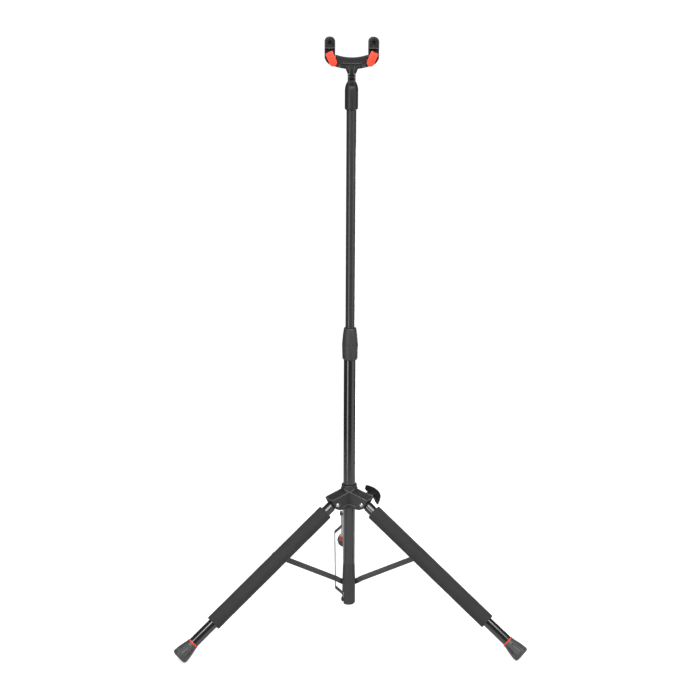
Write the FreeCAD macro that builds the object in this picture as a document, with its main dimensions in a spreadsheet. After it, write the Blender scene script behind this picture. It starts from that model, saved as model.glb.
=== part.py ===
"""Hanging guitar stand: a folding tripod, a telescoping mast and a tilting neck yoke.

All lengths are millimetres. The origin is on the floor under the middle of the
stand's box, +Z is up, and the two padded legs point to the front, which is -Y.
"""
import FreeCAD
import Part
import Sketcher
import math
import os
import re

Vector = FreeCAD.Vector
Rotation = FreeCAD.Rotation
Placement = FreeCAD.Placement

# Driving dimensions, one cell each
SIZES = {
    # Shared fits
    "overrun": 2.0,
    "running_gap": 0.08,
    "soft_gap": 0.3,
    "side_gap": 0.3,
    "head_gap": 0.2,
    # Mast tubes
    "mast_foot": 38.0,
    "main_radius": 12.7,
    "main_wall": 1.5,
    "main_top": 610.0,
    "upper_radius": 9.75,
    "upper_wall": 1.2,
    "upper_top": 1130.0,
    # Boot at the mast's lower end
    "boot_proud": 1.2,
    "boot_height": 93.0,
    "boot_taper": 52.0,
    "boot_edge": 0.1,
    "boot_spigot": 20.0,
    "boot_face_inset": 1.3,
    "boot_face_drop": 43.0,
    "boot_flat_inset": 1.7,
    "boot_flat_above": 20.0,
    "boot_round": 4.0,
    "boot_core_radius": 5.0,
    "boot_core_drop": 27.0,
    # Height clutch
    "clutch_lap": 25.5,
    "clutch_split_rise": 8.0,
    "clutch_rise": 42.0,
    "clutch_foot_wall": 0.7,
    "clutch_wall": 3.0,
    "clutch_flare": 0.85,
    "clutch_chamfer": 2.6,
    "clutch_seat_inset": 1.8,
    "thread_wall": 0.5,
    "thread_rise": 15.0,
    "nut_gap": 0.2,
    "nut_lip_wall": 2.45,
    "nut_lip_drop": 3.5,
    "nut_lip_flare": 0.8,
    "nut_cone_taper": 2.15,
    "nut_cone_rise": 22.0,
    "collet_inset": 0.5,
    "collet_wall": 1.55,
    "collet_height": 10.0,
    "collet_slit": 1.6,
    # Glide bush at the lower end of the upper tube
    "glide_depth": 24.3,
    "glide_top_drop": 0.4,
    "glide_lip": 2.0,
    "glide_lip_depth": 2.25,
    # Collar and fork at the top of the mast
    "collar_lap": 34.0,
    "collar_wall": 3.45,
    "collar_rise": 4.0,
    "collar_taper": 16.0,
    "collar_chamfer": 1.6,
    "fork_shoulder": 0.9,
    "fork_ear": 3.4,
    "fork_radius": 6.8,
    "pin_rise": 8.0,
    "pin_radius": 2.2,
    "window_side": 1.5,
    "window_drop": 12.0,
    "window_height": 4.2,
    "window_depth": 12.2,
    # Yoke
    "tongue_half": 4.1,
    "tongue_inset": 2.2,
    "knuckle_clear": 8.0,
    "knuckle_height": 9.0,
    "knuckle_brim": 0.3,
    "knuckle_flare": 4.2,
    "knuckle_depth": 8.0,
    "knuckle_lap": 2.6,
    "knuckle_lap_height": 6.5,
    "yoke_seat_depth": 1.0,
    "yoke_half": 53.0,
    "yoke_depth": 15.5,
    "yoke_belly": 6.0,
    "yoke_corner_rise": 16.0,
    "yoke_corner_run": 17.0,
    "yoke_corner_radius": 21.0,
    "yoke_rest_sag": 5.5,
    "yoke_front": 5.0,
    "yoke_back": 11.0,
    "arm_width": 20.5,
    "arm_round": 9.0,
    "cap_proud": 0.8,
    "cap_length": 22.2,
    "cap_gap": 4.45,
    "cap_cover": 1.4,
    "cap_slot_half": 2.9,
    "cap_slot_rise": 5.8,
    "cap_slot_length": 8.6,
    "cap_slot_depth": 5.0,
    "cap_screw_rise": 2.9,
    "cap_screw_radius": 1.5,
    "cap_screw_head": 3.4,
    "cap_screw_head_depth": 2.2,
    "cap_screw_bite": 5.0,
    # Saddle that the neck presses
    "saddle_side_rise": 5.5,
    "saddle_proud": 6.5,
    "saddle_height": 9.0,
    "saddle_front": 3.2,
    "saddle_back": 6.2,
    "saddle_side_gap": 0.6,
    "saddle_travel": 5.0,
    "channel_gap": 0.4,
    "spring_x": 14.0,
    "spring_radius": 3.0,
    "spring_wall": 0.8,
    "spring_well_gap": 0.6,
    "spring_floor_rise": 3.2,
    "spring_clear": 0.6,
    # Lock gates
    "gate_inset": 4.0,
    "gate_drop": 2.5,
    "gate_half": 7.6,
    "gate_reach": 21.3,
    "gate_lean": 24.0,
    "gate_thickness": 5.7,
    "gate_pin_radius": 2.5,
    "gate_pin_bite": 3.2,
    "gate_pin_root": 6.0,
    # Hub
    "hub_bottom": 262.5,
    "hub_height": 49.4,
    "hub_wall": 2.2,
    "hub_liner_wall": 1.42,
    "hub_bush_inset": 2.0,
    "hub_round": 1.6,
    "arm_wall": 3.1,
    "arm_root": 10.0,
    "arm_root_height": 35.5,
    "arm_tip_run": 14.0,
    "arm_tip_height": 24.0,
    "arm_tip_low_run": 4.5,
    "arm_tip_low_rise": 4.5,
    "arm_heel_run": 5.0,
    "channel_roof_gap": 1.7,
    "channel_roof_run": 3.5,
    "channel_mouth_run": 2.0,
    "channel_mouth_rise": 4.1,
    "bolt_radius": 2.5,
    "bolt_head_radius": 4.2,
    "bolt_head_depth": 1.6,
    "bolt_slot": 1.2,
    "nut_radius": 4.5,
    "nut_height": 3.0,
    # Wing knob on the hub
    "knob_azimuth": 30.0,
    "knob_turn": 21.0,
    "knob_rise": 13.0,
    "stud_radius": 4.0,
    "boss_radius": 8.5,
    "boss_length": 8.6,
    "clamp_radius": 5.0,
    "clamp_length": 3.3,
    "knob_clear": 19.0,
    "knob_length": 22.0,
    "knob_radius": 7.5,
    "wing_half_span": 27.5,
    "wing_tip_run": 12.0,
    "wing_bulge": 17.0,
    "wing_hollow": 3.0,
    "wing_tip_width": 10.5,
    "wing_thickness": 11.0,
    # Legs
    "pivot_reach": 36.5,
    "pivot_rise": 12.4,
    "leg_slope": 35.45,
    "leg_radius": 11.0,
    "leg_wall": 1.2,
    "leg_end": 440.0,
    "eye_radius": 9.4,
    "eye_neck": 0.6,
    "plug_spigot": 22.0,
    "ring_lap": 30.4,
    "ring_width": 3.6,
    "ring_depth": 1.5,
    "foot_wall": 1.1,
    "foot_taper": 4.8,
    "foot_cap": 5.0,
    "foot_lip": 5.4,
    "foot_bevel": 1.5,
    "foot_rim": 2.0,
    "foot_tread": 0.8,
    # Foam sleeves on the front legs
    "foam_start": 27.2,
    "foam_short": 86.3,
    "foam_thickness": 5.2,
    "foam_round": 2.0,
    # Struts
    "strut_leg_reach": 164.0,
    "strut_foot_reach": 3.0,
    "front_strut_rise": 44.0,
    "rear_strut_rise": 8.0,
    "strut_width": 11.5,
    "strut_thickness": 2.0,
    "strut_clear": 2.8,
    "rear_strut_step": 9.0,
    "foot_joggle_start": 14.0,
    "leg_joggle_start": 34.0,
    "rivet_radius": 2.5,
    "spacer_radius": 3.6,
    "rivet_head_radius": 5.3,
    "rivet_head": 2.8,
    "boot_screw_head": 6.2,
    "boot_screw_bite": 7.5,
}

# Lengths that follow from the driving ones
FORMULAS = {
    "main_bore": "main_radius - main_wall",
    "boot_radius": "main_radius + boot_proud",
    "boot_shoulder": "mast_foot + boot_height",
    "boot_taper_top": "mast_foot + boot_taper",
    "boot_face": "main_radius - boot_face_inset",
    "boot_face_top": "boot_shoulder - boot_face_drop",
    "boot_flat": "main_radius - boot_flat_inset",
    "boot_core_bottom": "boot_shoulder - boot_core_drop",
    "clutch_bottom": "main_top - clutch_lap",
    "clutch_split": "main_top + clutch_split_rise",
    "clutch_top": "main_top + clutch_rise",
    "clutch_foot_radius": "main_radius + clutch_foot_wall",
    "clutch_low_radius": "main_radius + clutch_wall",
    "clutch_mid_radius": "clutch_low_radius + clutch_flare",
    "clutch_top_radius": "upper_radius + nut_lip_wall",
    "clutch_seat_radius": "main_radius - clutch_seat_inset",
    "thread_radius": "main_radius + thread_wall",
    "thread_top": "clutch_split + thread_rise",
    "nut_bore": "upper_radius + nut_gap",
    "nut_cone_radius": "clutch_mid_radius - nut_cone_taper",
    "nut_cone_height": "clutch_split + nut_cone_rise",
    "nut_lip_height": "clutch_top - nut_lip_drop",
    "collet_bottom_radius": "thread_radius - collet_inset",
    "collet_top_radius": "upper_radius + collet_wall",
    "collet_top": "thread_top + collet_height",
    "glide_bottom": "main_top - glide_depth",
    "glide_top": "main_top - glide_top_drop",
    "glide_lip_radius": "upper_radius - glide_lip_depth",
    "upper_bottom": "glide_bottom + glide_lip",
    "collar_bottom": "upper_top - collar_lap",
    "collar_radius": "upper_radius + collar_wall",
    "collar_shoulder": "upper_top + collar_rise",
    "collar_top": "collar_shoulder + collar_taper",
    "collar_top_radius": "fork_half_width + fork_shoulder",
    "fork_half_slot": "tongue_half + head_gap",
    "fork_half_width": "fork_half_slot + fork_ear",
    "fork_slot_bottom": "pin_height - tongue_radius - soft_gap",
    "pin_height": "collar_top + pin_rise",
    "window_half": "fork_half_slot + window_side",
    "window_top": "pin_height - window_drop",
    "window_bottom": "window_top - window_height",
    "tongue_radius": "fork_radius - tongue_inset",
    "knuckle_bottom": "pin_height + knuckle_clear",
    "knuckle_low_half": "fork_half_width + knuckle_brim",
    "knuckle_high_half": "knuckle_low_half + knuckle_flare",
    "knuckle_lap_top": "yoke_seat + knuckle_lap_height",
    "yoke_bottom": "knuckle_bottom + knuckle_height",
    "yoke_seat": "yoke_bottom + yoke_seat_depth",
    "yoke_inner_half": "yoke_half - arm_width",
    "yoke_corner_low": "yoke_bottom + yoke_belly",
    "yoke_corner_high": "yoke_corner_low + yoke_corner_rise",
    "yoke_corner_x": "yoke_half - yoke_corner_run",
    "yoke_rest_mid": "yoke_bottom + yoke_depth",
    "yoke_rest_side": "yoke_rest_mid + yoke_rest_sag",
    "yoke_middle": "(saddle_back - saddle_front) / 2",
    "arm_middle": "(yoke_half + yoke_inner_half) / 2",
    "gate_top": "gate_pivot_height + gate_reach * cos(gate_lean) + gate_half * sin(gate_lean)",
    "cap_bottom": "gate_top + cap_gap",
    "cap_top": "cap_bottom + cap_length",
    "arm_top": "cap_top - cap_proud",
    "cap_front": "gate_front + cap_cover",
    "cap_slot_low": "cap_bottom + cap_slot_rise",
    "cap_slot_high": "cap_slot_low + cap_slot_length",
    "cap_screw_height": "cap_bottom + cap_screw_rise",
    "saddle_mid_top": "yoke_rest_mid + saddle_proud",
    "spring_well": "spring_radius + spring_well_gap",
    "spring_floor": "yoke_seat + spring_floor_rise",
    "spring_top": "saddle_mid_top - saddle_height - spring_clear",
    "gate_pivot_x": "yoke_inner_half + gate_inset",
    "gate_pivot_height": "yoke_rest_mid - gate_drop",
    "gate_back": "yoke_front + side_gap",
    "gate_front": "gate_back + gate_thickness",
    "hub_top": "hub_bottom + hub_height",
    "hub_bush_radius": "main_radius + running_gap + hub_liner_wall",
    "hub_radius": "hub_bush_radius + hub_wall",
    "arm_half": "arm_channel_half + arm_wall",
    "arm_channel_half": "leg_radius + side_gap",
    "arm_root_top": "hub_bottom + arm_root_height",
    "arm_tip_reach": "pivot_reach + arm_tip_run",
    "arm_tip_top": "hub_bottom + arm_tip_height",
    "arm_tip_low_reach": "pivot_reach + arm_tip_low_run",
    "arm_tip_low": "hub_bottom + arm_tip_low_rise",
    "arm_heel_reach": "pivot_reach - arm_heel_run",
    "channel_wall": "pivot_reach - leg_radius - soft_gap",
    "channel_roof": "pivot_height + eye_radius + channel_roof_gap",
    "channel_roof_reach": "pivot_reach + channel_roof_run",
    "channel_mouth_reach": "arm_tip_reach + channel_mouth_run",
    "channel_mouth": "pivot_height + channel_mouth_rise",
    "pivot_height": "hub_bottom + pivot_rise",
    "knob_height": "hub_bottom + knob_rise",
    "boss_reach": "hub_radius + boss_length",
    "clamp_reach": "main_radius + clamp_length",
    "knob_start": "boss_reach + knob_clear",
    "knob_end": "knob_start + knob_length",
    "wing_tip_reach": "knob_start + wing_tip_run",
    "wing_outer_reach": "wing_tip_reach + wing_bulge",
    "wing_inner_reach": "wing_tip_reach + wing_hollow",
    "wing_tip_half": "wing_half_span - wing_tip_width",
    "leg_start": "eye_radius + eye_neck",
    "ring_start": "leg_end - ring_lap",
    "ring_radius": "leg_radius + ring_depth",
    "foot_start_radius": "leg_radius + foot_wall",
    "foot_flare": "leg_end + foot_cap",
    "foot_flare_radius": "foot_start_radius + foot_taper",
    "foot_end": "foot_flare + foot_lip",
    "foot_rim_start": "foot_end - foot_rim",
    "foot_end_radius": "foot_flare_radius - foot_bevel",
    "foam_end": "leg_end - foam_short",
    "foam_radius": "leg_radius + foam_thickness",
    "front_strut_height": "mast_foot + front_strut_rise",
    "rear_strut_height": "mast_foot + rear_strut_rise",
    "front_strut_offset": "foam_radius + strut_clear",
    "rear_strut_offset": "front_strut_offset + rear_strut_step",
}

# Counts
LEG_AZIMUTHS = {"left": 210.0, "right": 330.0, "rear": 90.0}
STRUT_SIDES = {"left": -1, "right": 1, "rear": 1}

doc = FreeCAD.newDocument("hanging_guitar_stand")
sheet = doc.addObject("Spreadsheet::Sheet", "Sizes")
for row, (alias, amount) in enumerate(SIZES.items(), 1):
    sheet.set("A%d" % row, alias)
    sheet.set("B%d" % row, str(amount))
    sheet.setAlias("B%d" % row, alias)
doc.recompute()

nodes = {}


def bound(text):
    """Write a formula of size names as an expression on the sheet."""
    def written(match):
        word = match.group(0)
        if word in FORMULAS:
            return "(%s)" % bound(FORMULAS[word])
        return "Sizes." + word if word in SIZES else word
    return re.sub(r"[a-z][a-z_]*", written, text)


def value(text):
    """Work out a formula of size names."""
    return float(sheet.evalExpression(bound(text)))


def origin_plane(body, role):
    return [feature for feature in body.Origin.OriginFeatures if feature.Role == role][0]


def outline_sketch(body, name, role, corners):
    """Draw a closed outline. A corner is (x, y) or (x, y, radius, side), which starts an arc."""
    sketch = body.newObject("Sketcher::SketchObject", name)
    sketch.AttachmentSupport = [(origin_plane(body, role), "")]
    sketch.MapMode = "FlatFace"
    places = [Vector(value(corner[0]), value(corner[1]), 0) for corner in corners]
    count = len(corners)
    ends = []
    for index, corner in enumerate(corners):
        start = places[index]
        end = places[(index + 1) % count]
        if len(corner) == 2:
            sketch.addGeometry(Part.LineSegment(start, end))
            ends.append((1, 2))
            continue
        radius = value(corner[2])
        side = corner[3]
        chord = end - start
        normal = Vector(-chord.y, chord.x, 0).normalize() * side
        depth = math.sqrt(radius ** 2 - (chord.Length / 2) ** 2)
        centre = (start + end) / 2 + normal * depth
        first, last = (start, end) if side > 0 else (end, start)
        angles = [math.atan2((p - centre).y, (p - centre).x) for p in (first, last)]
        circle = Part.Circle(centre, Vector(0, 0, 1), radius)
        sketch.addGeometry(Part.ArcOfCircle(circle, angles[0], angles[1]))
        ends.append((1, 2) if side > 0 else (2, 1))
    for index in range(count):
        following = (index + 1) % count
        sketch.addConstraint(
            Sketcher.Constraint("Coincident", index, ends[index][1], following, ends[following][0]))
    for index, corner in enumerate(corners):
        for kind, text, number in (("DistanceX", corner[0], places[index].x),
                                   ("DistanceY", corner[1], places[index].y)):
            made = sketch.addConstraint(Sketcher.Constraint(kind, -1, 1, index, ends[index][0], number))
            sketch.setExpression("Constraints[%d]" % made, bound(text))
        if len(corner) == 4:
            made = sketch.addConstraint(Sketcher.Constraint("Radius", index, value(corner[2])))
            sketch.setExpression("Constraints[%d]" % made, bound(corner[2]))
    return sketch


def new_body(name):
    body = doc.addObject("PartDesign::Body", name)
    body.Label = name
    return body


def revolved(name, corners, axis="V_Axis"):
    """Turn an outline in the XZ plane about the vertical (or X) axis."""
    body = new_body(name)
    sketch = outline_sketch(body, name + "_outline", "XZ_Plane", corners)
    turn = body.newObject("PartDesign::Revolution", name + "_turn")
    turn.Profile = sketch
    turn.ReferenceAxis = (sketch, [axis])
    turn.Angle = 360
    doc.recompute()
    return body


def padded(name, role, corners, low, high):
    """Pad an outline along its plane's normal from low to high."""
    body = new_body(name)
    sketch = outline_sketch(body, name + "_outline", role, corners)
    pad = body.newObject("PartDesign::Pad", name + "_pad")
    pad.Profile = sketch
    pad.setExpression("Length", bound("(%s) - (%s)" % (high, low)))
    start = "-(%s)" % high if role == "XZ_Plane" else "(%s)" % low
    sketch.setExpression("AttachmentOffset.Base.z", bound(start))
    doc.recompute()
    return body


def round_edges(body, radius, chosen):
    """Round the edges of a body's tip that the test picks."""
    base = body.Tip
    names = ["Edge%d" % (i + 1) for i, edge in enumerate(base.Shape.Edges) if chosen(edge)]
    fillet = body.newObject("PartDesign::Fillet", body.Name + "_round")
    fillet.Base = (base, names)
    fillet.setExpression("Radius", bound(radius))
    doc.recompute()
    return body


def placed(thing, x="0", y="0", z="0"):
    for axis, text in (("x", x), ("y", y), ("z", z)):
        thing.setExpression(".Placement.Base." + axis, bound(text))
    return thing


def rod(name, radius, low, high, direction="z", a="0", b="0"):
    """A cylinder along x, y or z. a and b place its axis on the two other directions."""
    made = doc.addObject("Part::Cylinder", name)
    made.setExpression("Radius", bound(radius))
    made.setExpression("Height", bound("(%s) - (%s)" % (high, low)))
    turn = {"z": Rotation(), "x": Rotation(Vector(0, 1, 0), 90), "y": Rotation(Vector(1, 0, 0), -90)}
    made.Placement = Placement(Vector(), turn[direction])
    where = {"z": (a, b, low), "x": (low, a, b), "y": (a, low, b)}[direction]
    return placed(made, *where)


def block(name, x, y, z):
    """A box between the pairs of places given for x, y and z."""
    made = doc.addObject("Part::Box", name)
    for prop, (low, high) in zip(("Length", "Width", "Height"), (x, y, z)):
        made.setExpression(prop, bound("(%s) - (%s)" % (high, low)))
    return placed(made, x[0], y[0], z[0])


def fused(name, *shapes):
    made = doc.addObject("Part::MultiFuse", name)
    made.Shapes = list(shapes)
    doc.recompute()
    return made


def cut(name, base, *tools):
    made = doc.addObject("Part::Cut", name)
    made.Base = base
    made.Tool = tools[0] if len(tools) == 1 else fused(name + "_tools", *tools)
    doc.recompute()
    before = base.Shape.Volume
    if before - made.Shape.Volume <= 0:
        raise RuntimeError("nothing was cut from " + name)
    return made


def common(name, *shapes):
    made = doc.addObject("Part::MultiCommon", name)
    made.Shapes = list(shapes)
    doc.recompute()
    return made


def group(name, *shapes):
    made = doc.addObject("Part::Compound", name)
    made.Links = list(shapes)
    doc.recompute()
    return made


def turned_copy(name, shape, place):
    """A copy of a shape that stays tied to it, at a place of its own."""
    made = doc.addObject("Part::Compound", name)
    made.Links = [shape]
    made.Placement = place
    doc.recompute()
    return made


def keep(name, thing, place=None):
    """Name the finished sub-part and set it in the stand."""
    if thing.TypeId == "Part::Cylinder":
        thing = group(name + "_set", thing)
    thing.Label = name
    if place is not None:
        thing.Placement = place
    nodes[name] = thing
    doc.recompute()


def azimuth_place(azimuth):
    return Placement(Vector(), Rotation(Vector(0, 0, 1), azimuth))


# Where the linkage closes
slope = math.radians(value("leg_slope"))
lever = value("pivot_reach - strut_foot_reach")
front_drop = value("pivot_height - front_strut_height")
rear_drop = value("pivot_height - rear_strut_height")


def strut_length(drop, reach):
    """The distance between a strut's two pivots with the stand open."""
    across = lever + reach * math.cos(slope)
    return math.hypot(across, drop - reach * math.sin(slope))


front_reach = value("strut_leg_reach")
front_length = strut_length(front_drop, front_reach)
hub_travel = front_reach + math.sqrt(front_length ** 2 - lever ** 2) - front_drop
rear_high = rear_drop + hub_travel
rear_reach = (rear_high ** 2 - rear_drop ** 2) / (
    2 * (rear_high + lever * math.cos(slope) - rear_drop * math.sin(slope)))
rear_length = strut_length(rear_drop, rear_reach)
for row, (alias, amount) in enumerate((("rear_leg_reach", rear_reach), ("front_length", front_length),
                                       ("rear_length", rear_length)), len(SIZES) + 1):
    sheet.set("A%d" % row, alias)
    sheet.set("B%d" % row, repr(amount))
    sheet.setAlias("B%d" % row, alias)
    SIZES[alias] = amount
doc.recompute()


def make_mast():
    """Main tube and the moulded boot in its lower end."""
    keep("main_tube", revolved("main_tube_body", [
        ("main_bore", "boot_shoulder"),
        ("main_radius", "boot_shoulder"),
        ("main_radius", "main_top"),
        ("main_bore", "main_top")]))
    boot = revolved("boot_blank", [
        ("0", "mast_foot"),
        ("boot_radius", "mast_foot"),
        ("boot_radius", "boot_taper_top"),
        ("main_radius + boot_edge", "boot_shoulder"),
        ("main_bore", "boot_shoulder"),
        ("main_bore", "boot_shoulder + boot_spigot"),
        ("boot_core_radius", "boot_shoulder + boot_spigot"),
        ("boot_core_radius", "boot_core_bottom"),
        ("0", "boot_core_bottom")])
    low = value("mast_foot")
    round_edges(boot, "boot_round", lambda edge: abs(edge.BoundBox.ZMax - low) < value("overrun") / 4
                and edge.BoundBox.XLength > value("boot_radius"))
    face = padded("boot_face_cut", "YZ_Plane", [
        ("-boot_radius * 2", "mast_foot - overrun"),
        ("-boot_face", "mast_foot - overrun"),
        ("-boot_face", "boot_face_top"),
        ("-boot_radius", "boot_shoulder - overrun"),
        ("-boot_radius * 2", "boot_shoulder - overrun")], "-boot_radius * 2", "boot_radius * 2")
    tools = [face]
    screws = []
    for leg, azimuth in LEG_AZIMUTHS.items():
        side = STRUT_SIDES[leg]
        height = "rear_strut_height" if leg == "rear" else "front_strut_height"
        flat = block("boot_flat_" + leg, ("-boot_radius", "boot_radius"), ("boot_flat", "boot_radius * 2"),
                     (height + " - boot_screw_head - overrun", height + " + boot_flat_above"))
        hole = rod("boot_hole_" + leg, "rivet_radius", "boot_flat - boot_screw_bite", "boot_flat + overrun",
                   "y", "strut_foot_reach", height)
        sides = []
        for number, thing in enumerate((flat, hole)):
            if side < 0:
                flipped = doc.addObject("Part::Mirroring", "boot_tool_%s_%d" % (leg, number))
                flipped.Source = thing
                flipped.Normal = Vector(0, 1, 0)
                thing = flipped
            sides.append(turned_copy("boot_side_%s_%d" % (leg, number), thing, azimuth_place(azimuth)))
        tools += sides
        shank = rod("boot_shank_" + leg, "rivet_radius", "boot_flat - boot_screw_bite",
                    "boot_flat + side_gap + strut_thickness + head_gap + overrun / 2", "y", "strut_foot_reach", height)
        dome = doc.addObject("Part::Sphere", "boot_dome_" + leg)
        dome.setExpression("Radius", bound("(boot_screw_head ^ 2 + rivet_head ^ 2) / (2 * rivet_head)"))
        placed(dome, "strut_foot_reach",
               "boot_flat + side_gap + strut_thickness + head_gap + rivet_head"
               " - (boot_screw_head ^ 2 + rivet_head ^ 2) / (2 * rivet_head)", height)
        slab = block("boot_slab_" + leg, ("-boot_radius", "boot_radius"),
                     ("boot_flat + side_gap + strut_thickness + head_gap", "boot_radius * 2"),
                     (height + " - boot_radius", height + " + boot_radius"))
        screw = fused("boot_screw_" + leg, shank, common("boot_head_" + leg, dome, slab))
        if side < 0:
            flipped = doc.addObject("Part::Mirroring", "boot_screw_flip_" + leg)
            flipped.Source = screw
            flipped.Normal = Vector(0, 1, 0)
            screw = flipped
        screws.append(turned_copy("boot_screw_set_" + leg, screw, azimuth_place(azimuth)))
    keep("base_boot", cut("boot_cut", boot, *tools))
    keep("boot_screws", group("boot_screw_group", *screws))


def make_clutch():
    """Twist clutch that locks the upper tube."""
    keep("clutch_body", revolved("clutch_body_turned", [
        ("main_radius", "clutch_bottom"),
        ("clutch_foot_radius", "clutch_bottom"),
        ("clutch_low_radius", "clutch_bottom + clutch_chamfer"),
        ("clutch_mid_radius", "clutch_split - head_gap"),
        ("thread_radius", "clutch_split - head_gap"),
        ("thread_radius", "thread_top"),
        ("clutch_seat_radius", "thread_top"),
        ("clutch_seat_radius", "main_top"),
        ("main_radius", "main_top")]))
    keep("clutch_nut", revolved("clutch_nut_turned", [
        ("thread_radius + running_gap", "clutch_split"),
        ("clutch_mid_radius", "clutch_split"),
        ("nut_cone_radius", "nut_cone_height"),
        ("clutch_top_radius + nut_lip_flare", "nut_lip_height"),
        ("clutch_top_radius", "clutch_top"),
        ("nut_bore", "clutch_top"),
        ("nut_bore", "nut_lip_height - overrun"),
        ("collet_top_radius + side_gap", "collet_top + side_gap"),
        ("collet_bottom_radius + side_gap", "thread_top + side_gap"),
        ("thread_radius + running_gap", "thread_top")]))
    ring = revolved("collet_ring", [
        ("upper_radius + running_gap", "thread_top"),
        ("collet_bottom_radius", "thread_top"),
        ("collet_top_radius", "collet_top"),
        ("upper_radius + running_gap", "collet_top")])
    slit = block("collet_slit_cut", ("0", "collet_bottom_radius + overrun"),
                 ("-collet_slit / 2", "collet_slit / 2"), ("thread_top - overrun", "collet_top + overrun"))
    keep("clutch_collet", cut("collet_cut", ring, slit))


def make_upper_tube():
    """Upper tube with its glide bush and the forked collar."""
    keep("upper_tube", revolved("upper_tube_body", [
        ("upper_radius - upper_wall", "upper_bottom + running_gap"),
        ("upper_radius", "upper_bottom + running_gap"),
        ("upper_radius", "upper_top"),
        ("upper_radius - upper_wall", "upper_top")]))
    keep("tube_glide", revolved("tube_glide_body", [
        ("glide_lip_radius", "glide_bottom"),
        ("main_bore - running_gap", "glide_bottom"),
        ("main_bore - running_gap", "glide_top"),
        ("upper_radius + running_gap", "glide_top"),
        ("upper_radius + running_gap", "glide_bottom + glide_lip"),
        ("glide_lip_radius", "glide_bottom + glide_lip")]))
    shell = revolved("collar_shell", [
        ("upper_radius", "collar_bottom"),
        ("collar_radius - collar_chamfer", "collar_bottom"),
        ("collar_radius", "collar_bottom + collar_chamfer"),
        ("collar_radius", "collar_shoulder", "(collar_top - collar_shoulder) * 1.9", 1),
        ("collar_top_radius", "collar_top"),
        ("0", "collar_top"),
        ("0", "upper_top"),
        ("upper_radius", "upper_top")])
    ears = fused("fork_ears",
                 block("fork_block", ("-fork_half_width", "fork_half_width"), ("-fork_radius", "fork_radius"),
                       ("collar_shoulder", "pin_height")),
                 rod("fork_round", "fork_radius", "-fork_half_width", "fork_half_width", "x", "0", "pin_height"))
    whole = fused("collar_whole", shell, ears)
    slot = block("fork_slot", ("-fork_half_slot", "fork_half_slot"), ("-collar_radius * 2", "collar_radius * 2"),
                 ("fork_slot_bottom", "pin_height + fork_radius * 2"))
    window = block("fork_window", ("-window_half", "window_half"),
                   ("-collar_radius - overrun", "-collar_radius + window_depth"), ("window_bottom", "window_top"))
    throat = block("fork_throat", ("-fork_half_slot", "fork_half_slot"),
                   ("-collar_radius - overrun", "-collar_radius + window_depth"), ("window_bottom", "pin_height"))
    hole = rod("fork_hole", "pin_radius", "-fork_half_width - overrun", "fork_half_width + overrun",
               "x", "0", "pin_height")
    keep("top_collar", cut("collar_cut", whole, slot, window, throat, hole))
    keep("yoke_pin", rod("yoke_pin_rod", "pin_radius", "-fork_half_width", "fork_half_width",
                         "x", "0", "pin_height"))


def yoke_outline(inner_side, inner_mid, top):
    """The front outline of the yoke between its arms' tops and a curved rest."""
    sag = "((%s) - (%s))" % (inner_side, inner_mid)
    rest = "(yoke_inner_half ^ 2 + %s ^ 2) / (2 * %s)" % (sag, sag)
    drop = "(yoke_corner_low - yoke_bottom)"
    belly = "(yoke_corner_x ^ 2 + %s ^ 2) / (2 * %s)" % (drop, drop)
    return [
        ("-yoke_half", top),
        ("-yoke_half", "yoke_corner_high", "yoke_corner_radius", 1),
        ("-yoke_corner_x", "yoke_corner_low", belly, 1),
        ("yoke_corner_x", "yoke_corner_low", "yoke_corner_radius", 1),
        ("yoke_half", "yoke_corner_high"),
        ("yoke_half", top),
        ("yoke_inner_half", top),
        ("yoke_inner_half", inner_side, rest, -1),
        ("-yoke_inner_half", inner_side),
        ("-yoke_inner_half", top)]


def curved_bar(name, half, side_top, mid_top, height, low, high):
    """A bar with parallel curved top and bottom, padded along Y."""
    sag = "((%s) - (%s))" % (side_top, mid_top)
    bend = "((%s) ^ 2 + %s ^ 2) / (2 * %s)" % (half, sag, sag)
    return padded(name, "XZ_Plane", [
        ("-(%s)" % half, "(%s) - (%s)" % (side_top, height), bend, 1),
        ("(%s)" % half, "(%s) - (%s)" % (side_top, height)),
        ("(%s)" % half, side_top, bend, -1),
        ("-(%s)" % half, side_top)], low, high)


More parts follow.
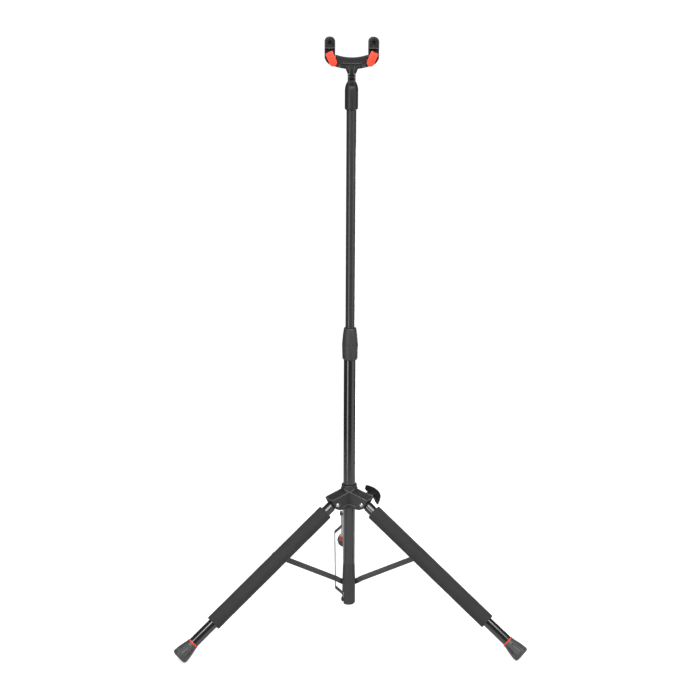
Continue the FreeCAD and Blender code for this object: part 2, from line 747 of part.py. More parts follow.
def make_yoke():
    """Yoke frame, caps, saddle, gates and the knuckle that tilts in the fork."""
    blank = padded("yoke_blank", "XZ_Plane", yoke_outline("yoke_rest_side", "yoke_rest_mid", "arm_top"),
                   "-yoke_front", "yoke_back")
    high = value("arm_top")
    round_edges(blank, "arm_round", lambda edge: abs(edge.BoundBox.ZMin - high) < value("overrun") / 4
                and edge.BoundBox.YLength > value("yoke_front"))
    channel = curved_bar("saddle_channel", "yoke_inner_half", "yoke_rest_side + overrun * 2",
                         "yoke_rest_mid + overrun * 2",
                         "overrun * 2 + yoke_rest_mid - saddle_mid_top + saddle_height + saddle_travel"
                         " + channel_gap", "-saddle_front - channel_gap", "saddle_back + channel_gap")
    wells = [rod("spring_well_%d" % side, "spring_well", "spring_floor", "yoke_rest_mid", "z",
                 "spring_x * %d" % side, "yoke_middle") for side in (-1, 1)]
    seat = block("yoke_seat_cut", ("-knuckle_high_half", "knuckle_high_half"),
                 ("-yoke_front - overrun", "yoke_back + overrun"), ("yoke_bottom - overrun", "yoke_seat"))
    holes = []
    for side in (-1, 1):
        arm_x = "arm_middle * %d" % side
        holes.append(rod("cap_hole_%d" % side, "cap_screw_radius", "-yoke_front - overrun",
                         "yoke_back + overrun", "y", arm_x, "cap_screw_height"))
        holes.append(rod("cap_sink_%d" % side, "cap_screw_head", "yoke_back - cap_screw_head_depth",
                         "yoke_back + overrun", "y", arm_x, "cap_screw_height"))
        holes.append(rod("gate_hole_%d" % side, "gate_pin_radius", "-yoke_front - overrun",
                         "-yoke_front + gate_pin_root", "y", "gate_pivot_x * %d" % side, "gate_pivot_height"))
    keep("yoke_frame", cut("yoke_cut", blank, channel, seat, *(wells + holes)))
    springs = []
    for side in (-1, 1):
        coil = rod("spring_rod_%d" % side, "spring_radius", "spring_floor + running_gap", "spring_top", "z",
                   "spring_x * %d" % side, "yoke_middle")
        core = rod("spring_core_%d" % side, "spring_radius - spring_wall", "spring_floor - overrun",
                   "spring_top + overrun", "z", "spring_x * %d" % side, "yoke_middle")
        springs.append(cut("spring_%d" % side, coil, core))
    keep("saddle_springs", group("spring_group", *springs))
    keep("saddle", curved_bar("saddle_bar", "yoke_inner_half - saddle_side_gap",
                              "saddle_mid_top + saddle_side_rise", "saddle_mid_top", "saddle_height",
                              "-saddle_front", "saddle_back"))
    pins = []
    screws = []
    for name, side in (("left", -1), ("right", 1)):
        middle = "arm_middle * %d" % side
        edges = ["yoke_half * %d" % side, "yoke_inner_half * %d" % side]
        low, tall = (edges[0], edges[1]) if side < 0 else (edges[1], edges[0])
        cap = padded("cap_blank_" + name, "XZ_Plane", [
            (low, "cap_bottom"), (tall, "cap_bottom"), (tall, "cap_top"), (low, "cap_top")],
            "-cap_front", "-yoke_front")
        peak = value("cap_top")
        round_edges(cap, "arm_round", lambda edge: abs(edge.BoundBox.ZMin - peak) < value("overrun") / 4
                    and edge.BoundBox.YLength > value("overrun"))
        slot = block("cap_slot_" + name, (middle + " - cap_slot_half", middle + " + cap_slot_half"),
                     ("-cap_front - overrun", "-cap_front + cap_slot_depth"), ("cap_slot_low", "cap_slot_high"))
        bite = rod("cap_bite_" + name, "cap_screw_radius", "-yoke_front - cap_screw_bite",
                   "-yoke_front + overrun", "y", middle, "cap_screw_height")
        keep("arm_cap_" + name, cut("cap_cut_" + name, cap, slot, bite))
        shank = rod("cap_shank_" + name, "cap_screw_radius", "-yoke_front - cap_screw_bite",
                    "yoke_back - cap_screw_head_depth + running_gap", "y", middle, "cap_screw_height")
        head = rod("cap_head_" + name, "cap_screw_head", "yoke_back - cap_screw_head_depth",
                   "yoke_back", "y", middle, "cap_screw_height")
        screws.append(fused("cap_screw_" + name, shank, head))
        pins.append(rod("gate_pin_" + name, "gate_pin_radius", "-yoke_front - gate_pin_bite",
                        "-yoke_front + gate_pin_root", "y", "gate_pivot_x * %d" % side, "gate_pivot_height"))
        plate = fused("gate_plate_" + name,
                      block("gate_block_" + name, ("-gate_half", "gate_half"), ("-gate_front", "-gate_back"),
                            ("0", "gate_reach")),
                      rod("gate_round_" + name, "gate_half", "-gate_front", "-gate_back", "y"))
        bore = rod("gate_bore_" + name, "gate_pin_radius + running_gap", "-yoke_front - gate_pin_bite - running_gap",
                   "overrun", "y")
        lean = Rotation(Vector(0, 1, 0), value("gate_lean") * side)
        at = Vector(value("gate_pivot_x") * side, 0, value("gate_pivot_height"))
        keep("gate_" + name, cut("gate_cut_" + name, plate, bore), Placement(at, lean))
    keep("gate_pins", group("gate_pin_group", *pins))
    keep("cap_screws", group("cap_screw_group", *screws))
    funnel = padded("knuckle_funnel", "XZ_Plane", [
        ("-knuckle_low_half", "knuckle_bottom"),
        ("knuckle_low_half", "knuckle_bottom"),
        ("knuckle_high_half", "yoke_seat"),
        ("-knuckle_high_half", "yoke_seat")], "-knuckle_depth", "knuckle_depth")
    lap = padded("knuckle_lap_plate", "XZ_Plane", [
        ("-(knuckle_low_half + knuckle_high_half) / 2", "(knuckle_bottom + yoke_seat) / 2"),
        ("(knuckle_low_half + knuckle_high_half) / 2", "(knuckle_bottom + yoke_seat) / 2"),
        ("knuckle_high_half", "knuckle_lap_top"),
        ("-knuckle_high_half", "knuckle_lap_top")],
        "-yoke_front - knuckle_lap", "-yoke_front")
    tongue = fused("tongue",
                   rod("tongue_round", "tongue_radius", "-tongue_half", "tongue_half", "x", "0", "pin_height"),
                   block("tongue_block", ("-tongue_half", "tongue_half"), ("-tongue_radius", "tongue_radius"),
                         ("pin_height", "knuckle_bottom + overrun")))
    knuckle = fused("knuckle_whole", funnel, lap, tongue)
    bore = rod("knuckle_bore", "pin_radius + running_gap", "-tongue_half - overrun", "tongue_half + overrun",
               "x", "0", "pin_height")
    keep("yoke_knuckle", cut("knuckle_cut", knuckle, bore))


def make_hub():
    """Sliding hub with three open arms, its liner, leg bolts and clamp."""
    sleeve = revolved("hub_sleeve", [
        ("0", "hub_bottom"),
        ("hub_radius", "hub_bottom"),
        ("hub_radius", "hub_top"),
        ("0", "hub_top")])
    rim = value("hub_top")
    round_edges(sleeve, "hub_round", lambda edge: abs(edge.BoundBox.ZMin - rim) < value("overrun") / 4
                and edge.BoundBox.XLength > value("hub_bush_radius + hub_radius"))
    arms = []
    tools = []
    bolts = []
    nuts = []
    for leg, azimuth in LEG_AZIMUTHS.items():
        side = -STRUT_SIDES[leg]
        arm = padded("hub_arm_blank_" + leg, "XZ_Plane", [
            ("arm_root", "hub_bottom"),
            ("arm_heel_reach", "hub_bottom"),
            ("arm_tip_low_reach", "arm_tip_low"),
            ("arm_tip_reach", "arm_tip_top"),
            ("arm_root", "arm_root_top")], "-arm_half", "arm_half")
        channel = padded("hub_channel_" + leg, "XZ_Plane", [
            ("channel_wall", "hub_bottom - overrun"),
            ("arm_tip_reach + channel_wall", "hub_bottom - overrun"),
            ("arm_tip_reach + channel_wall", "channel_mouth - channel_wall * tan(leg_slope)"),
            ("channel_mouth_reach", "channel_mouth"),
            ("channel_roof_reach", "channel_roof"),
            ("channel_wall", "channel_roof")], "-arm_channel_half", "arm_channel_half")
        hole = rod("hub_hole_" + leg, "bolt_radius", "-arm_half - overrun", "arm_half + overrun", "y",
                   "pivot_reach", "pivot_height")
        low = "arm_half - bolt_head_depth" if side > 0 else "-arm_half - overrun"
        high = "arm_half + overrun" if side > 0 else "-arm_half + bolt_head_depth"
        sink = rod("hub_sink_" + leg, "bolt_head_radius + running_gap", low, high, "y",
                   "pivot_reach", "pivot_height")
        turn = azimuth_place(azimuth)
        arms.append(turned_copy("hub_arm_" + leg, arm, turn))
        for number, tool in enumerate((channel, hole, sink)):
            tools.append(turned_copy("hub_tool_%s_%d" % (leg, number), tool, turn))
        shank = rod("leg_bolt_shank_" + leg, "bolt_radius", "-arm_half", "arm_half", "y",
                    "pivot_reach", "pivot_height")
        low = "arm_half - bolt_head_depth" if side > 0 else "-arm_half"
        high = "arm_half" if side > 0 else "-arm_half + bolt_head_depth"
        head = rod("leg_bolt_head_" + leg, "bolt_head_radius", low, high, "y", "pivot_reach", "pivot_height")
        low = "arm_half - bolt_head_depth / 2" if side > 0 else "-arm_half - overrun"
        high = "arm_half + overrun" if side > 0 else "-arm_half + bolt_head_depth / 2"
        slot = block("leg_bolt_slot_" + leg,
                     ("pivot_reach - bolt_head_radius * 2", "pivot_reach + bolt_head_radius * 2"), (low, high),
                     ("pivot_height - bolt_slot / 2", "pivot_height + bolt_slot / 2"))
        bolt = cut("leg_bolt_cut_" + leg, fused("leg_bolt_" + leg, shank, head), slot)
        bolts.append(turned_copy("leg_bolt_set_" + leg, bolt, turn))
        prism = doc.addObject("Part::Prism", "leg_nut_prism_" + leg)
        prism.Polygon = 6
        prism.setExpression("Circumradius", bound("nut_radius"))
        prism.setExpression("Height", bound("nut_height"))
        prism.Placement = Placement(Vector(), Rotation(Vector(1, 0, 0), -90))
        placed(prism, "pivot_reach", "arm_half" if side < 0 else "-arm_half - nut_height", "pivot_height")
        nuts.append(turned_copy("leg_nut_set_" + leg, prism, turn))
    turn = azimuth_place(value("knob_azimuth"))
    boss = turned_copy("hub_boss", rod("hub_boss_rod", "boss_radius", "arm_root", "boss_reach", "x",
                                       "0", "knob_height"), turn)
    thread = turned_copy("hub_thread", rod("hub_thread_rod", "stud_radius + running_gap", "hub_bush_radius - overrun",
                                           "boss_reach + overrun", "x", "0", "knob_height"), turn)
    pocket = turned_copy("hub_pocket", rod("hub_pocket_rod", "clamp_radius + running_gap", "0",
                                           "clamp_reach + running_gap", "x", "0", "knob_height"), turn)
    core = rod("hub_core", "hub_bush_radius", "hub_bottom - overrun", "hub_top + overrun")
    shell = fused("hub_whole", sleeve, boss, *arms)
    keep("hub_shell", cut("hub_cut", shell, core, thread, pocket, *tools))
    keep("leg_bolts", group("leg_bolt_group", *bolts))
    keep("leg_nuts", group("leg_nut_group", *nuts))
    liner = revolved("hub_liner_turned", [
        ("main_radius + running_gap", "hub_bottom + hub_bush_inset"),
        ("hub_bush_radius", "hub_bottom + hub_bush_inset"),
        ("hub_bush_radius", "hub_top - hub_bush_inset"),
        ("main_radius + running_gap", "hub_top - hub_bush_inset")])
    window = turned_copy("liner_window", rod("liner_window_rod", "clamp_radius + running_gap", "0",
                                             "hub_radius + overrun", "x", "0", "knob_height"), turn)
    keep("hub_liner", cut("liner_cut", liner, window))
    pad = turned_copy("clamp_pad_turned", rod("clamp_pad_rod", "clamp_radius", "0", "clamp_reach", "x", "0",
                                              "knob_height"), turn)
    bar = rod("clamp_core", "main_radius + running_gap", "hub_bottom", "hub_top")
    keep("clamp_pad", cut("clamp_cut", pad, bar))


def make_knob():
    """Wing knob and stud that clamp the hub, turned in their own frame along X."""
    tip = "wing_tip_half"
    outer = "(wing_outer_reach - wing_tip_reach)"
    inner = "(wing_inner_reach - wing_tip_reach)"
    bow = "(wing_half_span ^ 2 + %s ^ 2) / (2 * %s)" % (outer, outer)
    hollow = "(%s ^ 2 + %s ^ 2) / (2 * %s)" % (tip, inner, inner)
    wing = padded("wing_blank", "XY_Plane", [
        ("wing_tip_reach", "-wing_half_span", bow, 1),
        ("wing_tip_reach", "wing_half_span"),
        ("wing_tip_reach", tip, hollow, -1),
        ("wing_tip_reach", "-" + tip)], "-wing_thickness / 2", "wing_thickness / 2")
    barrel = rod("knob_barrel", "knob_radius", "knob_start", "knob_end", "x")
    hole = rod("knob_hole", "stud_radius", "knob_start - overrun", "knob_end - overrun * 2", "x")
    turn = Rotation(Vector(0, 0, 1), value("knob_azimuth")).multiply(
        Rotation(Vector(1, 0, 0), value("knob_turn")))
    place = Placement(Vector(0, 0, value("knob_height")), turn)
    keep("wing_knob", cut("knob_cut", fused("knob_whole", wing, barrel), hole), place)
    keep("knob_stud", rod("knob_stud_rod", "stud_radius", "clamp_reach + running_gap",
                          "knob_end - overrun * 2", "x"), place)


def make_leg(leg, azimuth):
    """One leg in its own frame: X runs from the hub pivot to the foot."""
    side = STRUT_SIDES[leg]
    reach = "rear_leg_reach" if leg == "rear" else "strut_leg_reach"
    turn = Rotation(Vector(0, 0, 1), azimuth).multiply(Rotation(Vector(0, 1, 0), value("leg_slope")))
    foot = Rotation(Vector(0, 0, 1), azimuth).multVec(Vector(value("pivot_reach"), 0, value("pivot_height")))
    place = Placement(foot, turn)
    tube = revolved("leg_tube_turned_" + leg, [
        ("leg_start", "leg_radius - leg_wall"),
        ("leg_end", "leg_radius - leg_wall"),
        ("leg_end", "leg_radius"),
        ("leg_start", "leg_radius")], "H_Axis")
    hole = rod("leg_hole_" + leg, "rivet_radius", "-leg_radius - overrun", "leg_radius + overrun", "y", reach)
    keep("leg_tube_" + leg, cut("leg_cut_" + leg, tube, hole), place)
    pin = rod("leg_pin_rod_" + leg, "rivet_radius", "-leg_radius", "leg_radius", "y", reach)
    if leg != "rear":
        stand_off = "front_strut_offset - strut_thickness / 2 - side_gap"
        low, high = ("leg_radius", stand_off) if side > 0 else ("-(%s)" % stand_off, "-leg_radius")
        spacer = rod("leg_pin_spacer_" + leg, "spacer_radius", low, high, "y", reach)
        pin = fused("leg_pin_whole_" + leg, pin, spacer)
    keep("leg_pin_" + leg, pin, place)
    eye = fused("leg_eye_" + leg,
                rod("leg_eye_round_" + leg, "eye_radius", "-leg_radius", "leg_radius", "y"),
                rod("leg_eye_neck_" + leg, "eye_radius", "0", "leg_start + running_gap", "x"),
                rod("leg_eye_spigot_" + leg, "leg_radius - leg_wall", "leg_start", "leg_start + plug_spigot", "x"))
    bore = rod("leg_eye_bore_" + leg, "bolt_radius + running_gap", "-leg_radius - overrun",
               "leg_radius + overrun", "y")
    keep("leg_plug_" + leg, cut("leg_plug_cut_" + leg, eye, bore), place)
    keep("foot_ring_" + leg, revolved("foot_ring_turned_" + leg, [
        ("ring_start", "leg_radius"),
        ("ring_start + ring_width", "leg_radius"),
        ("ring_start + ring_width", "ring_radius - collar_chamfer / 4"),
        ("ring_start + ring_width / 2", "ring_radius"),
        ("ring_start", "ring_radius - collar_chamfer / 4")], "H_Axis"), place)
    rubber = revolved("foot_turned_" + leg, [
        ("ring_start + ring_width", "leg_radius"),
        ("ring_start + ring_width", "foot_start_radius"),
        ("foot_flare", "foot_flare_radius"),
        ("foot_rim_start", "foot_flare_radius"),
        ("foot_end", "foot_end_radius"),
        ("foot_end", "0"),
        ("leg_end", "0"),
        ("leg_end", "leg_radius")], "H_Axis")
    tread = block("foot_tread_block_" + leg, ("-foot_flare_radius * 2", "foot_flare_radius * 2"),
                  ("-foot_flare_radius", "foot_flare_radius"), ("-foot_flare_radius", "foot_tread"))
    level = Placement(Vector(), Rotation(Vector(0, 1, 0), -value("leg_slope")))
    tread = placed(turned_copy("foot_tread_" + leg, tread, level), "foot_rim_start", "0", "-foot_flare_radius")
    keep("foot_" + leg, cut("foot_cut_" + leg, rubber, tread), place)
    if leg == "rear":
        return
    foam = revolved("foam_turned_" + leg, [
        ("foam_start", "leg_radius + soft_gap"),
        ("foam_end", "leg_radius + soft_gap"),
        ("foam_end", "foam_radius"),
        ("foam_start", "foam_radius")], "H_Axis")
    outer = value("leg_radius * 2 + soft_gap * 4")
    round_edges(foam, "foam_round", lambda edge: edge.BoundBox.XLength < value("overrun")
                and edge.BoundBox.YLength > outer)
    low, high = ("-foam_radius - overrun", "0") if side < 0 else ("0", "foam_radius + overrun")
    hole = rod("foam_hole_" + leg, "spacer_radius + soft_gap", low, high, "y", reach)
    keep("foam_sleeve_" + leg, cut("foam_cut_" + leg, foam, hole), place)


def make_strut(leg, azimuth):
    """A flat brace from the boot to a leg, in its own frame: X runs from the boot pivot."""
    side = STRUT_SIDES[leg]
    length = "rear_length" if leg == "rear" else "front_length"
    offset = "rear_strut_offset" if leg == "rear" else "front_strut_offset"
    height = value("rear_strut_height" if leg == "rear" else "front_strut_height")
    reach = rear_reach if leg == "rear" else front_reach
    drop = value("pivot_height") - reach * math.sin(slope) - height
    rise = math.degrees(math.asin(drop / value(length)))
    turn = Rotation(Vector(0, 0, 1), azimuth).multiply(Rotation(Vector(0, 1, 0), -rise))
    foot = Rotation(Vector(0, 0, 1), azimuth).multVec(Vector(value("strut_foot_reach"), 0, height))
    near = "(boot_flat + side_gap)"
    step = "(%s - strut_thickness / 2 - %s)" % (offset, near)
    far = near + " + " + step
    bend = "strut_thickness * tan(22.5)"
    upper = near if leg == "rear" else far
    inside = [("%s - leg_joggle_start - %s" % (length, step), far), ("%s - leg_joggle_start" % length, near)]
    outside = [("%s - leg_joggle_start + %s" % (length, bend), near + " + strut_thickness"),
               ("%s - leg_joggle_start - %s + %s" % (length, step, bend), far + " + strut_thickness")]
    if leg != "rear":
        inside = []
        outside = []
    low = [("-strut_width", near),
           ("foot_joggle_start", near),
           ("foot_joggle_start + " + step, far)] + inside + [
           ("%s + strut_width" % length, upper)]
    high = [("%s + strut_width" % length, upper + " + strut_thickness")] + outside + [
            ("foot_joggle_start + %s - %s" % (step, bend), far + " + strut_thickness"),
            ("foot_joggle_start - " + bend, near + " + strut_thickness"),
            ("-strut_width", near + " + strut_thickness")]
    ribbon = padded("strut_ribbon_" + leg, "XY_Plane", low + high, "-strut_width", "strut_width")
    shape = fused("strut_shape_" + leg,
                  block("strut_bar_" + leg, ("0", length), ("0", "rear_strut_offset * 2"),
                        ("-strut_width / 2", "strut_width / 2")),
                  rod("strut_low_end_" + leg, "strut_width / 2", "0", "rear_strut_offset * 2", "y"),
                  rod("strut_high_end_" + leg, "strut_width / 2", "0", "rear_strut_offset * 2", "y", length))
    bar = common("strut_plate_" + leg, ribbon, shape)
    low_hole = rod("strut_low_hole_" + leg, "rivet_radius + running_gap", "0", "rear_strut_offset", "y")
    high_hole = rod("strut_high_hole_" + leg, "rivet_radius", "0", "rear_strut_offset", "y", length)
    bar = cut("strut_cut_" + leg, bar, low_hole, high_hole)
    shank = rod("strut_rivet_shank_" + leg, "rivet_radius", upper, upper + " + strut_thickness + overrun / 2",
                "y", length)
    head = rod("strut_rivet_head_" + leg, "rivet_head_radius", upper + " + strut_thickness",
               upper + " + strut_thickness + rivet_head", "y", length)
    rivet = fused("strut_rivet_whole_" + leg, shank, head)
    parts = {"strut_" + leg: bar, "strut_rivet_" + leg: rivet}
    for name, thing in parts.items():
        if side < 0:
            flipped = doc.addObject("Part::Mirroring", name + "_flip")
            flipped.Source = thing
            flipped.Normal = Vector(0, 1, 0)
            thing = flipped
            doc.recompute()
            thing = turned_copy(name + "_turned", thing, Placement())
        keep(name, thing, Placement(foot, turn))


make_mast()
make_clutch()
make_upper_tube()
make_yoke()
make_hub()
make_knob()
for leg_name, leg_azimuth in LEG_AZIMUTHS.items():
    make_leg(leg_name, leg_azimuth)
    make_strut(leg_name, leg_azimuth)

# The origin goes under the middle of the stand's box
feet = [nodes["foot_" + leg].Shape.optimalBoundingBox(True, False) for leg in LEG_AZIMUTHS]
middle_y = (min(box.YMin for box in feet) + max(box.YMax for box in feet)) / 2
floor = min(box.ZMin for box in feet)
for node in nodes.values():
    node.Placement = Placement(Vector(0, -middle_y, -floor), Rotation()).multiply(node.Placement)
doc.recompute()
print("mast axis at y", round(-middle_y, 3), "floor raised by", round(-floor, 3))
print("hub travel", round(hub_travel, 3), "strut lengths", round(front_length, 3), round(rear_length, 3),
      "rear leg reach", round(rear_reach, 3))

for thing in doc.Objects:
    if {"Invalid", "Error"} & set(thing.State):
        raise RuntimeError("%s did not build: %s" % (thing.Label, thing.State))
os.makedirs("parts", exist_ok=True)
for name, node in nodes.items():
    if node.Shape.isNull() or not node.Shape.isValid():
        raise RuntimeError(name + " has no sound shape")
    node.Shape.exportStep("parts/%s.step" % name)
print(len(nodes), "sub-parts written")
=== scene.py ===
"""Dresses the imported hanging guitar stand: moulded parts, enamelled tubes, foam sleeves, light and camera."""

import logging
import math
from collections.abc import Callable, Iterable, Sequence
from dataclasses import dataclass
from enum import Enum

import bmesh
import bpy
from bpy.types import Material, Node, NodeSocket, NodeTree, Object
from mathutils import Matrix, Vector


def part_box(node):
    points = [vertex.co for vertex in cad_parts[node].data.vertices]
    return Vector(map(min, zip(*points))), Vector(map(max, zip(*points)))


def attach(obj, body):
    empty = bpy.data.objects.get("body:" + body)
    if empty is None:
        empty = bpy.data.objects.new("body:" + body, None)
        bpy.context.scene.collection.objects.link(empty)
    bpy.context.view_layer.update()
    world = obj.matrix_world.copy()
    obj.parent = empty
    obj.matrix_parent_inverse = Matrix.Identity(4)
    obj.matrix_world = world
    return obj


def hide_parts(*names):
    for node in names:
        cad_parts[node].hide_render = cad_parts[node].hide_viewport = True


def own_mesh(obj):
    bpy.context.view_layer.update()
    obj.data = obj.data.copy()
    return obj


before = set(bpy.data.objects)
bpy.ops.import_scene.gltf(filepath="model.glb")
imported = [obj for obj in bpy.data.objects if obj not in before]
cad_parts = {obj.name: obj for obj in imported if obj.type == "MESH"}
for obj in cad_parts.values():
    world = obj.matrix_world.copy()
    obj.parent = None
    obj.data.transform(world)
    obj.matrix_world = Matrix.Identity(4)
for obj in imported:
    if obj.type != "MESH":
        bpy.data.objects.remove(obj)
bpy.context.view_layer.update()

log = logging.getLogger("guitar_stand")

BMesh = bmesh.types.BMesh
Point = tuple[float, float]
Spot = tuple[float, float, float]

MM = 0.001
TUBE_TOP = 610.0
LEGS = (("left", 210.0, 1.0), ("right", 330.0, -1.0), ("rear", 90.0, -1.0))
SIDES = (("left", -1.0), ("right", 1.0))

WELD = 0.002
FLAT_TURN = 0.6
EDGE_SHARE = 0.48
BEAD_SIDES = 16
WHITE = (1.0, 1.0, 1.0, 1.0)

COAT_ROUGHNESS = 0.12
SHEEN_ROUGHNESS = 0.45
PATCH_RATIO = 28.0
FINE_SHARE = 0.55
BROAD_SHARE = 0.62
BUMP_STRENGTH = 0.55


@dataclass
class Wiring:
    """A node tree, with short ways to add and feed its nodes."""

    tree: NodeTree

    def feed(self, node: Node, takes: dict[str | int, object]) -> None:
        """Set or link the inputs of a node.

        Args:
            node: The node.
            takes: Name or number of each input, with its socket or value.
        """
        for key, entry in takes.items():
            if isinstance(entry, NodeSocket):
                self.tree.links.new(entry, node.inputs[key])
            else:
                node.inputs[key].default_value = entry

    def add(self, kind: str, takes: dict[str | int, object] | None = None, **settings: object) -> Node:
        """Add a node, set its properties and feed its inputs.

        Args:
            kind: Blender's name of the node.
            takes: Name or number of each input, with its socket or value.
            settings: Properties and what they are set to.

        Returns:
            The node.
        """
        made = self.tree.nodes.new(kind)
        for key, setting in settings.items():
            setattr(made, key, setting)
        self.feed(made, takes or {})
        return made

    def sum(self, operation: str, *values: NodeSocket | float) -> NodeSocket:
        """Add a math node on sockets or numbers.

        Args:
            operation: Blender's name of the operation.
            values: Sockets or numbers, in the order of the node's inputs.

        Returns:
            The socket of the result.
        """
        return self.add("ShaderNodeMath", dict(enumerate(values)), operation=operation).outputs[0]


class Grain(Enum):
    """The small-scale surface that a finish shows."""

    ENAMEL = "enamel"
    MOULDED = "moulded"
    FOAM = "foam"
    RUBBER = "rubber"
    PLATED = "plated"


@dataclass(frozen=True)
class Finish:
    """One finish of the stand, with its colour, gloss and grain.

    Sizes are in metres. The grain size is the width of one pebble, pore or ripple.
    """

    name: str
    slot: str
    grain: Grain
    colour: Spot
    deep: Spot
    roughness: float
    spread: float
    grain_size: float
    depth: float
    metallic: float = 0.0
    coat: float = 0.0
    sheen: float = 0.0
    specular: float = 0.5

    def material(self) -> Material:
        """Build the material, or give the one that is already built.

        Returns:
            The node material of this finish.
        """
        made = bpy.data.materials.get(self.name)
        if made:
            return made
        made = bpy.data.materials.new(self.name)
        made.use_nodes = True
        made.node_tree.nodes.clear()
        net = Wiring(made.node_tree)
        place = net.add("ShaderNodeTexCoord").outputs["Object"]
        broad = self._noise(net, place, 1.0 / (self.grain_size * PATCH_RATIO), 3.0, 0.6)
        fine = self._fine_pattern(net, place)
        share = net.sum("MULTIPLY_ADD", fine, FINE_SHARE, net.sum("MULTIPLY", broad, BROAD_SHARE))
        mix = net.add("ShaderNodeMix", {"A": (*self.deep, 1.0), "B": (*self.colour, 1.0), "Factor": share},
                      data_type="RGBA")
        rough = net.add("ShaderNodeMapRange", {"To Min": self.roughness - self.spread,
                                               "To Max": self.roughness + self.spread, "Value": broad})
        bump = net.add("ShaderNodeBump", {"Strength": BUMP_STRENGTH, "Distance": self.depth, "Height": fine})
        shader = net.add("ShaderNodeBsdfPrincipled", {
            "Metallic": self.metallic, "Coat Weight": self.coat, "Coat Roughness": COAT_ROUGHNESS,
            "Sheen Weight": self.sheen, "Sheen Roughness": SHEEN_ROUGHNESS,
            "Specular IOR Level": self.specular, "Base Color": mix.outputs["Result"],
            "Roughness": rough.outputs["Result"], "Normal": bump.outputs["Normal"]})
        net.add("ShaderNodeOutputMaterial", {"Surface": shader.outputs["BSDF"]})
        return made

    def _noise(self, net: Wiring, place: NodeSocket, scale: float, detail: float,
               rough: float) -> NodeSocket:
        """Add a noise texture on the object's own coordinates.

        Args:
            net: The material's node tree.
            place: The socket of the coordinates.
            scale: Ripples in one metre.
            detail: Octaves of the noise.
            rough: Strength of the higher octaves.

        Returns:
            The value socket of the noise.
        """
        noise = net.add("ShaderNodeTexNoise", {"Scale": scale, "Detail": detail, "Roughness": rough,
                                               "Vector": place})
        return noise.outputs["Fac"]

    def _fine_pattern(self, net: Wiring, place: NodeSocket) -> NodeSocket:
        """Add the pebbles, pores or ripples of the finish.

        Args:
            net: The material's node tree.
            place: The socket of the coordinates.

        Returns:
            A value socket between 0 and 1.
        """
        if self.grain in (Grain.ENAMEL, Grain.PLATED):
            return self._noise(net, place, 1.0 / self.grain_size, 2.0, 0.4)
        foam = self.grain is Grain.FOAM
        cells = net.add("ShaderNodeTexVoronoi", {"Scale": 1.0 / self.grain_size, "Vector": place},
                        feature="SMOOTH_F1" if foam else "F1")
        speckle = self._noise(net, place, 1.4 / self.grain_size, 4.0, 0.7)
        both = net.sum("MULTIPLY_ADD", cells.outputs["Distance"], 0.7 if foam else 0.45, speckle)
        fit = net.add("ShaderNodeMapRange", {"From Min": 0.35, "From Max": 1.1, "Value": both})
        return fit.outputs["Result"]


GLOSS_ENAMEL = Finish(
    "gloss_black_enamel", "gloss_tube", Grain.ENAMEL, (0.014, 0.014, 0.0145), (0.009, 0.009, 0.0095), 0.15,
    0.02, 0.0011, 0.00001, coat=1.0)
SATIN_ENAMEL = Finish(
    "satin_black_enamel", "gloss_tube", Grain.ENAMEL, (0.034, 0.034, 0.035), (0.022, 0.022, 0.023), 0.3, 0.03,
    0.0009, 0.00002, coat=0.25)
SATIN_BAR = Finish(
    "satin_bar_paint", "satin_metal", Grain.ENAMEL, (0.052, 0.052, 0.053), (0.034, 0.034, 0.035), 0.42, 0.05,
    0.0008, 0.00003, coat=0.1)
MOULDED_BLACK = Finish(
    "moulded_black_nylon", "moulded_black", Grain.MOULDED, (0.045, 0.045, 0.046), (0.024, 0.024, 0.025), 0.52,
    0.05, 0.00055, 0.00005)
# Lighter than the other blacks: a painted highlight along the raised beads and ridges, on a glossier surface.
RIDGE_HIGHLIGHT_BLACK = Finish(
    "nylon_edge_painted_highlight", "moulded_black", Grain.MOULDED, (0.075, 0.075, 0.076), (0.062, 0.062, 0.063), 0.28,
    0.03, 0.0005, 0.00001)
SMOOTH_BLACK = Finish(
    "smooth_black_nylon", "moulded_black", Grain.MOULDED, (0.014, 0.014, 0.0145), (0.009, 0.009, 0.0095),
    0.42, 0.05, 0.0005, 0.00002, specular=0.3)
FINE_BLACK = Finish(
    "fine_black_nylon", "moulded_black", Grain.MOULDED, (0.018, 0.018, 0.0185), (0.012, 0.012, 0.0125), 0.42,
    0.05, 0.0005, 0.00002)
HUB_BLACK = Finish(
    "hub_black_nylon", "moulded_black", Grain.MOULDED, (0.029, 0.029, 0.03), (0.019, 0.019, 0.02), 0.5, 0.05,
    0.00055, 0.00004)
BOOT_BLACK = Finish(
    "boot_black_nylon", "moulded_black", Grain.MOULDED, (0.036, 0.036, 0.037), (0.026, 0.026, 0.027), 0.42,
    0.05, 0.00055, 0.00003)
FOAM_SKIN = Finish(
    "closed_cell_foam", "foam", Grain.FOAM, (0.041, 0.041, 0.042), (0.02, 0.02, 0.021), 0.86, 0.06, 0.0009,
    0.00022, sheen=0.12, specular=0.25)
FOOT_RUBBER = Finish(
    "foot_rubber_grey", "foot_rubber", Grain.RUBBER, (0.066, 0.066, 0.068), (0.042, 0.042, 0.044), 0.4, 0.06,
    0.0007, 0.00005)
SADDLE_RUBBER = Finish(
    "saddle_rubber_black", "saddle_rubber", Grain.RUBBER, (0.016, 0.016, 0.0165), (0.01, 0.01, 0.0105), 0.6,
    0.06, 0.0006, 0.00004, specular=0.3)
SIGNAL_ORANGE = Finish(
    "soft_orange_plastic", "orange_plastic", Grain.MOULDED, (0.88, 0.057, 0.021), (0.8, 0.044, 0.016), 0.5,
    0.05, 0.0006, 0.00003)
ZINC = Finish(
    "bright_zinc_plate", "zinc", Grain.PLATED, (0.78, 0.78, 0.8), (0.6, 0.6, 0.62), 0.24, 0.06, 0.0006,
    0.00002, metallic=1.0)
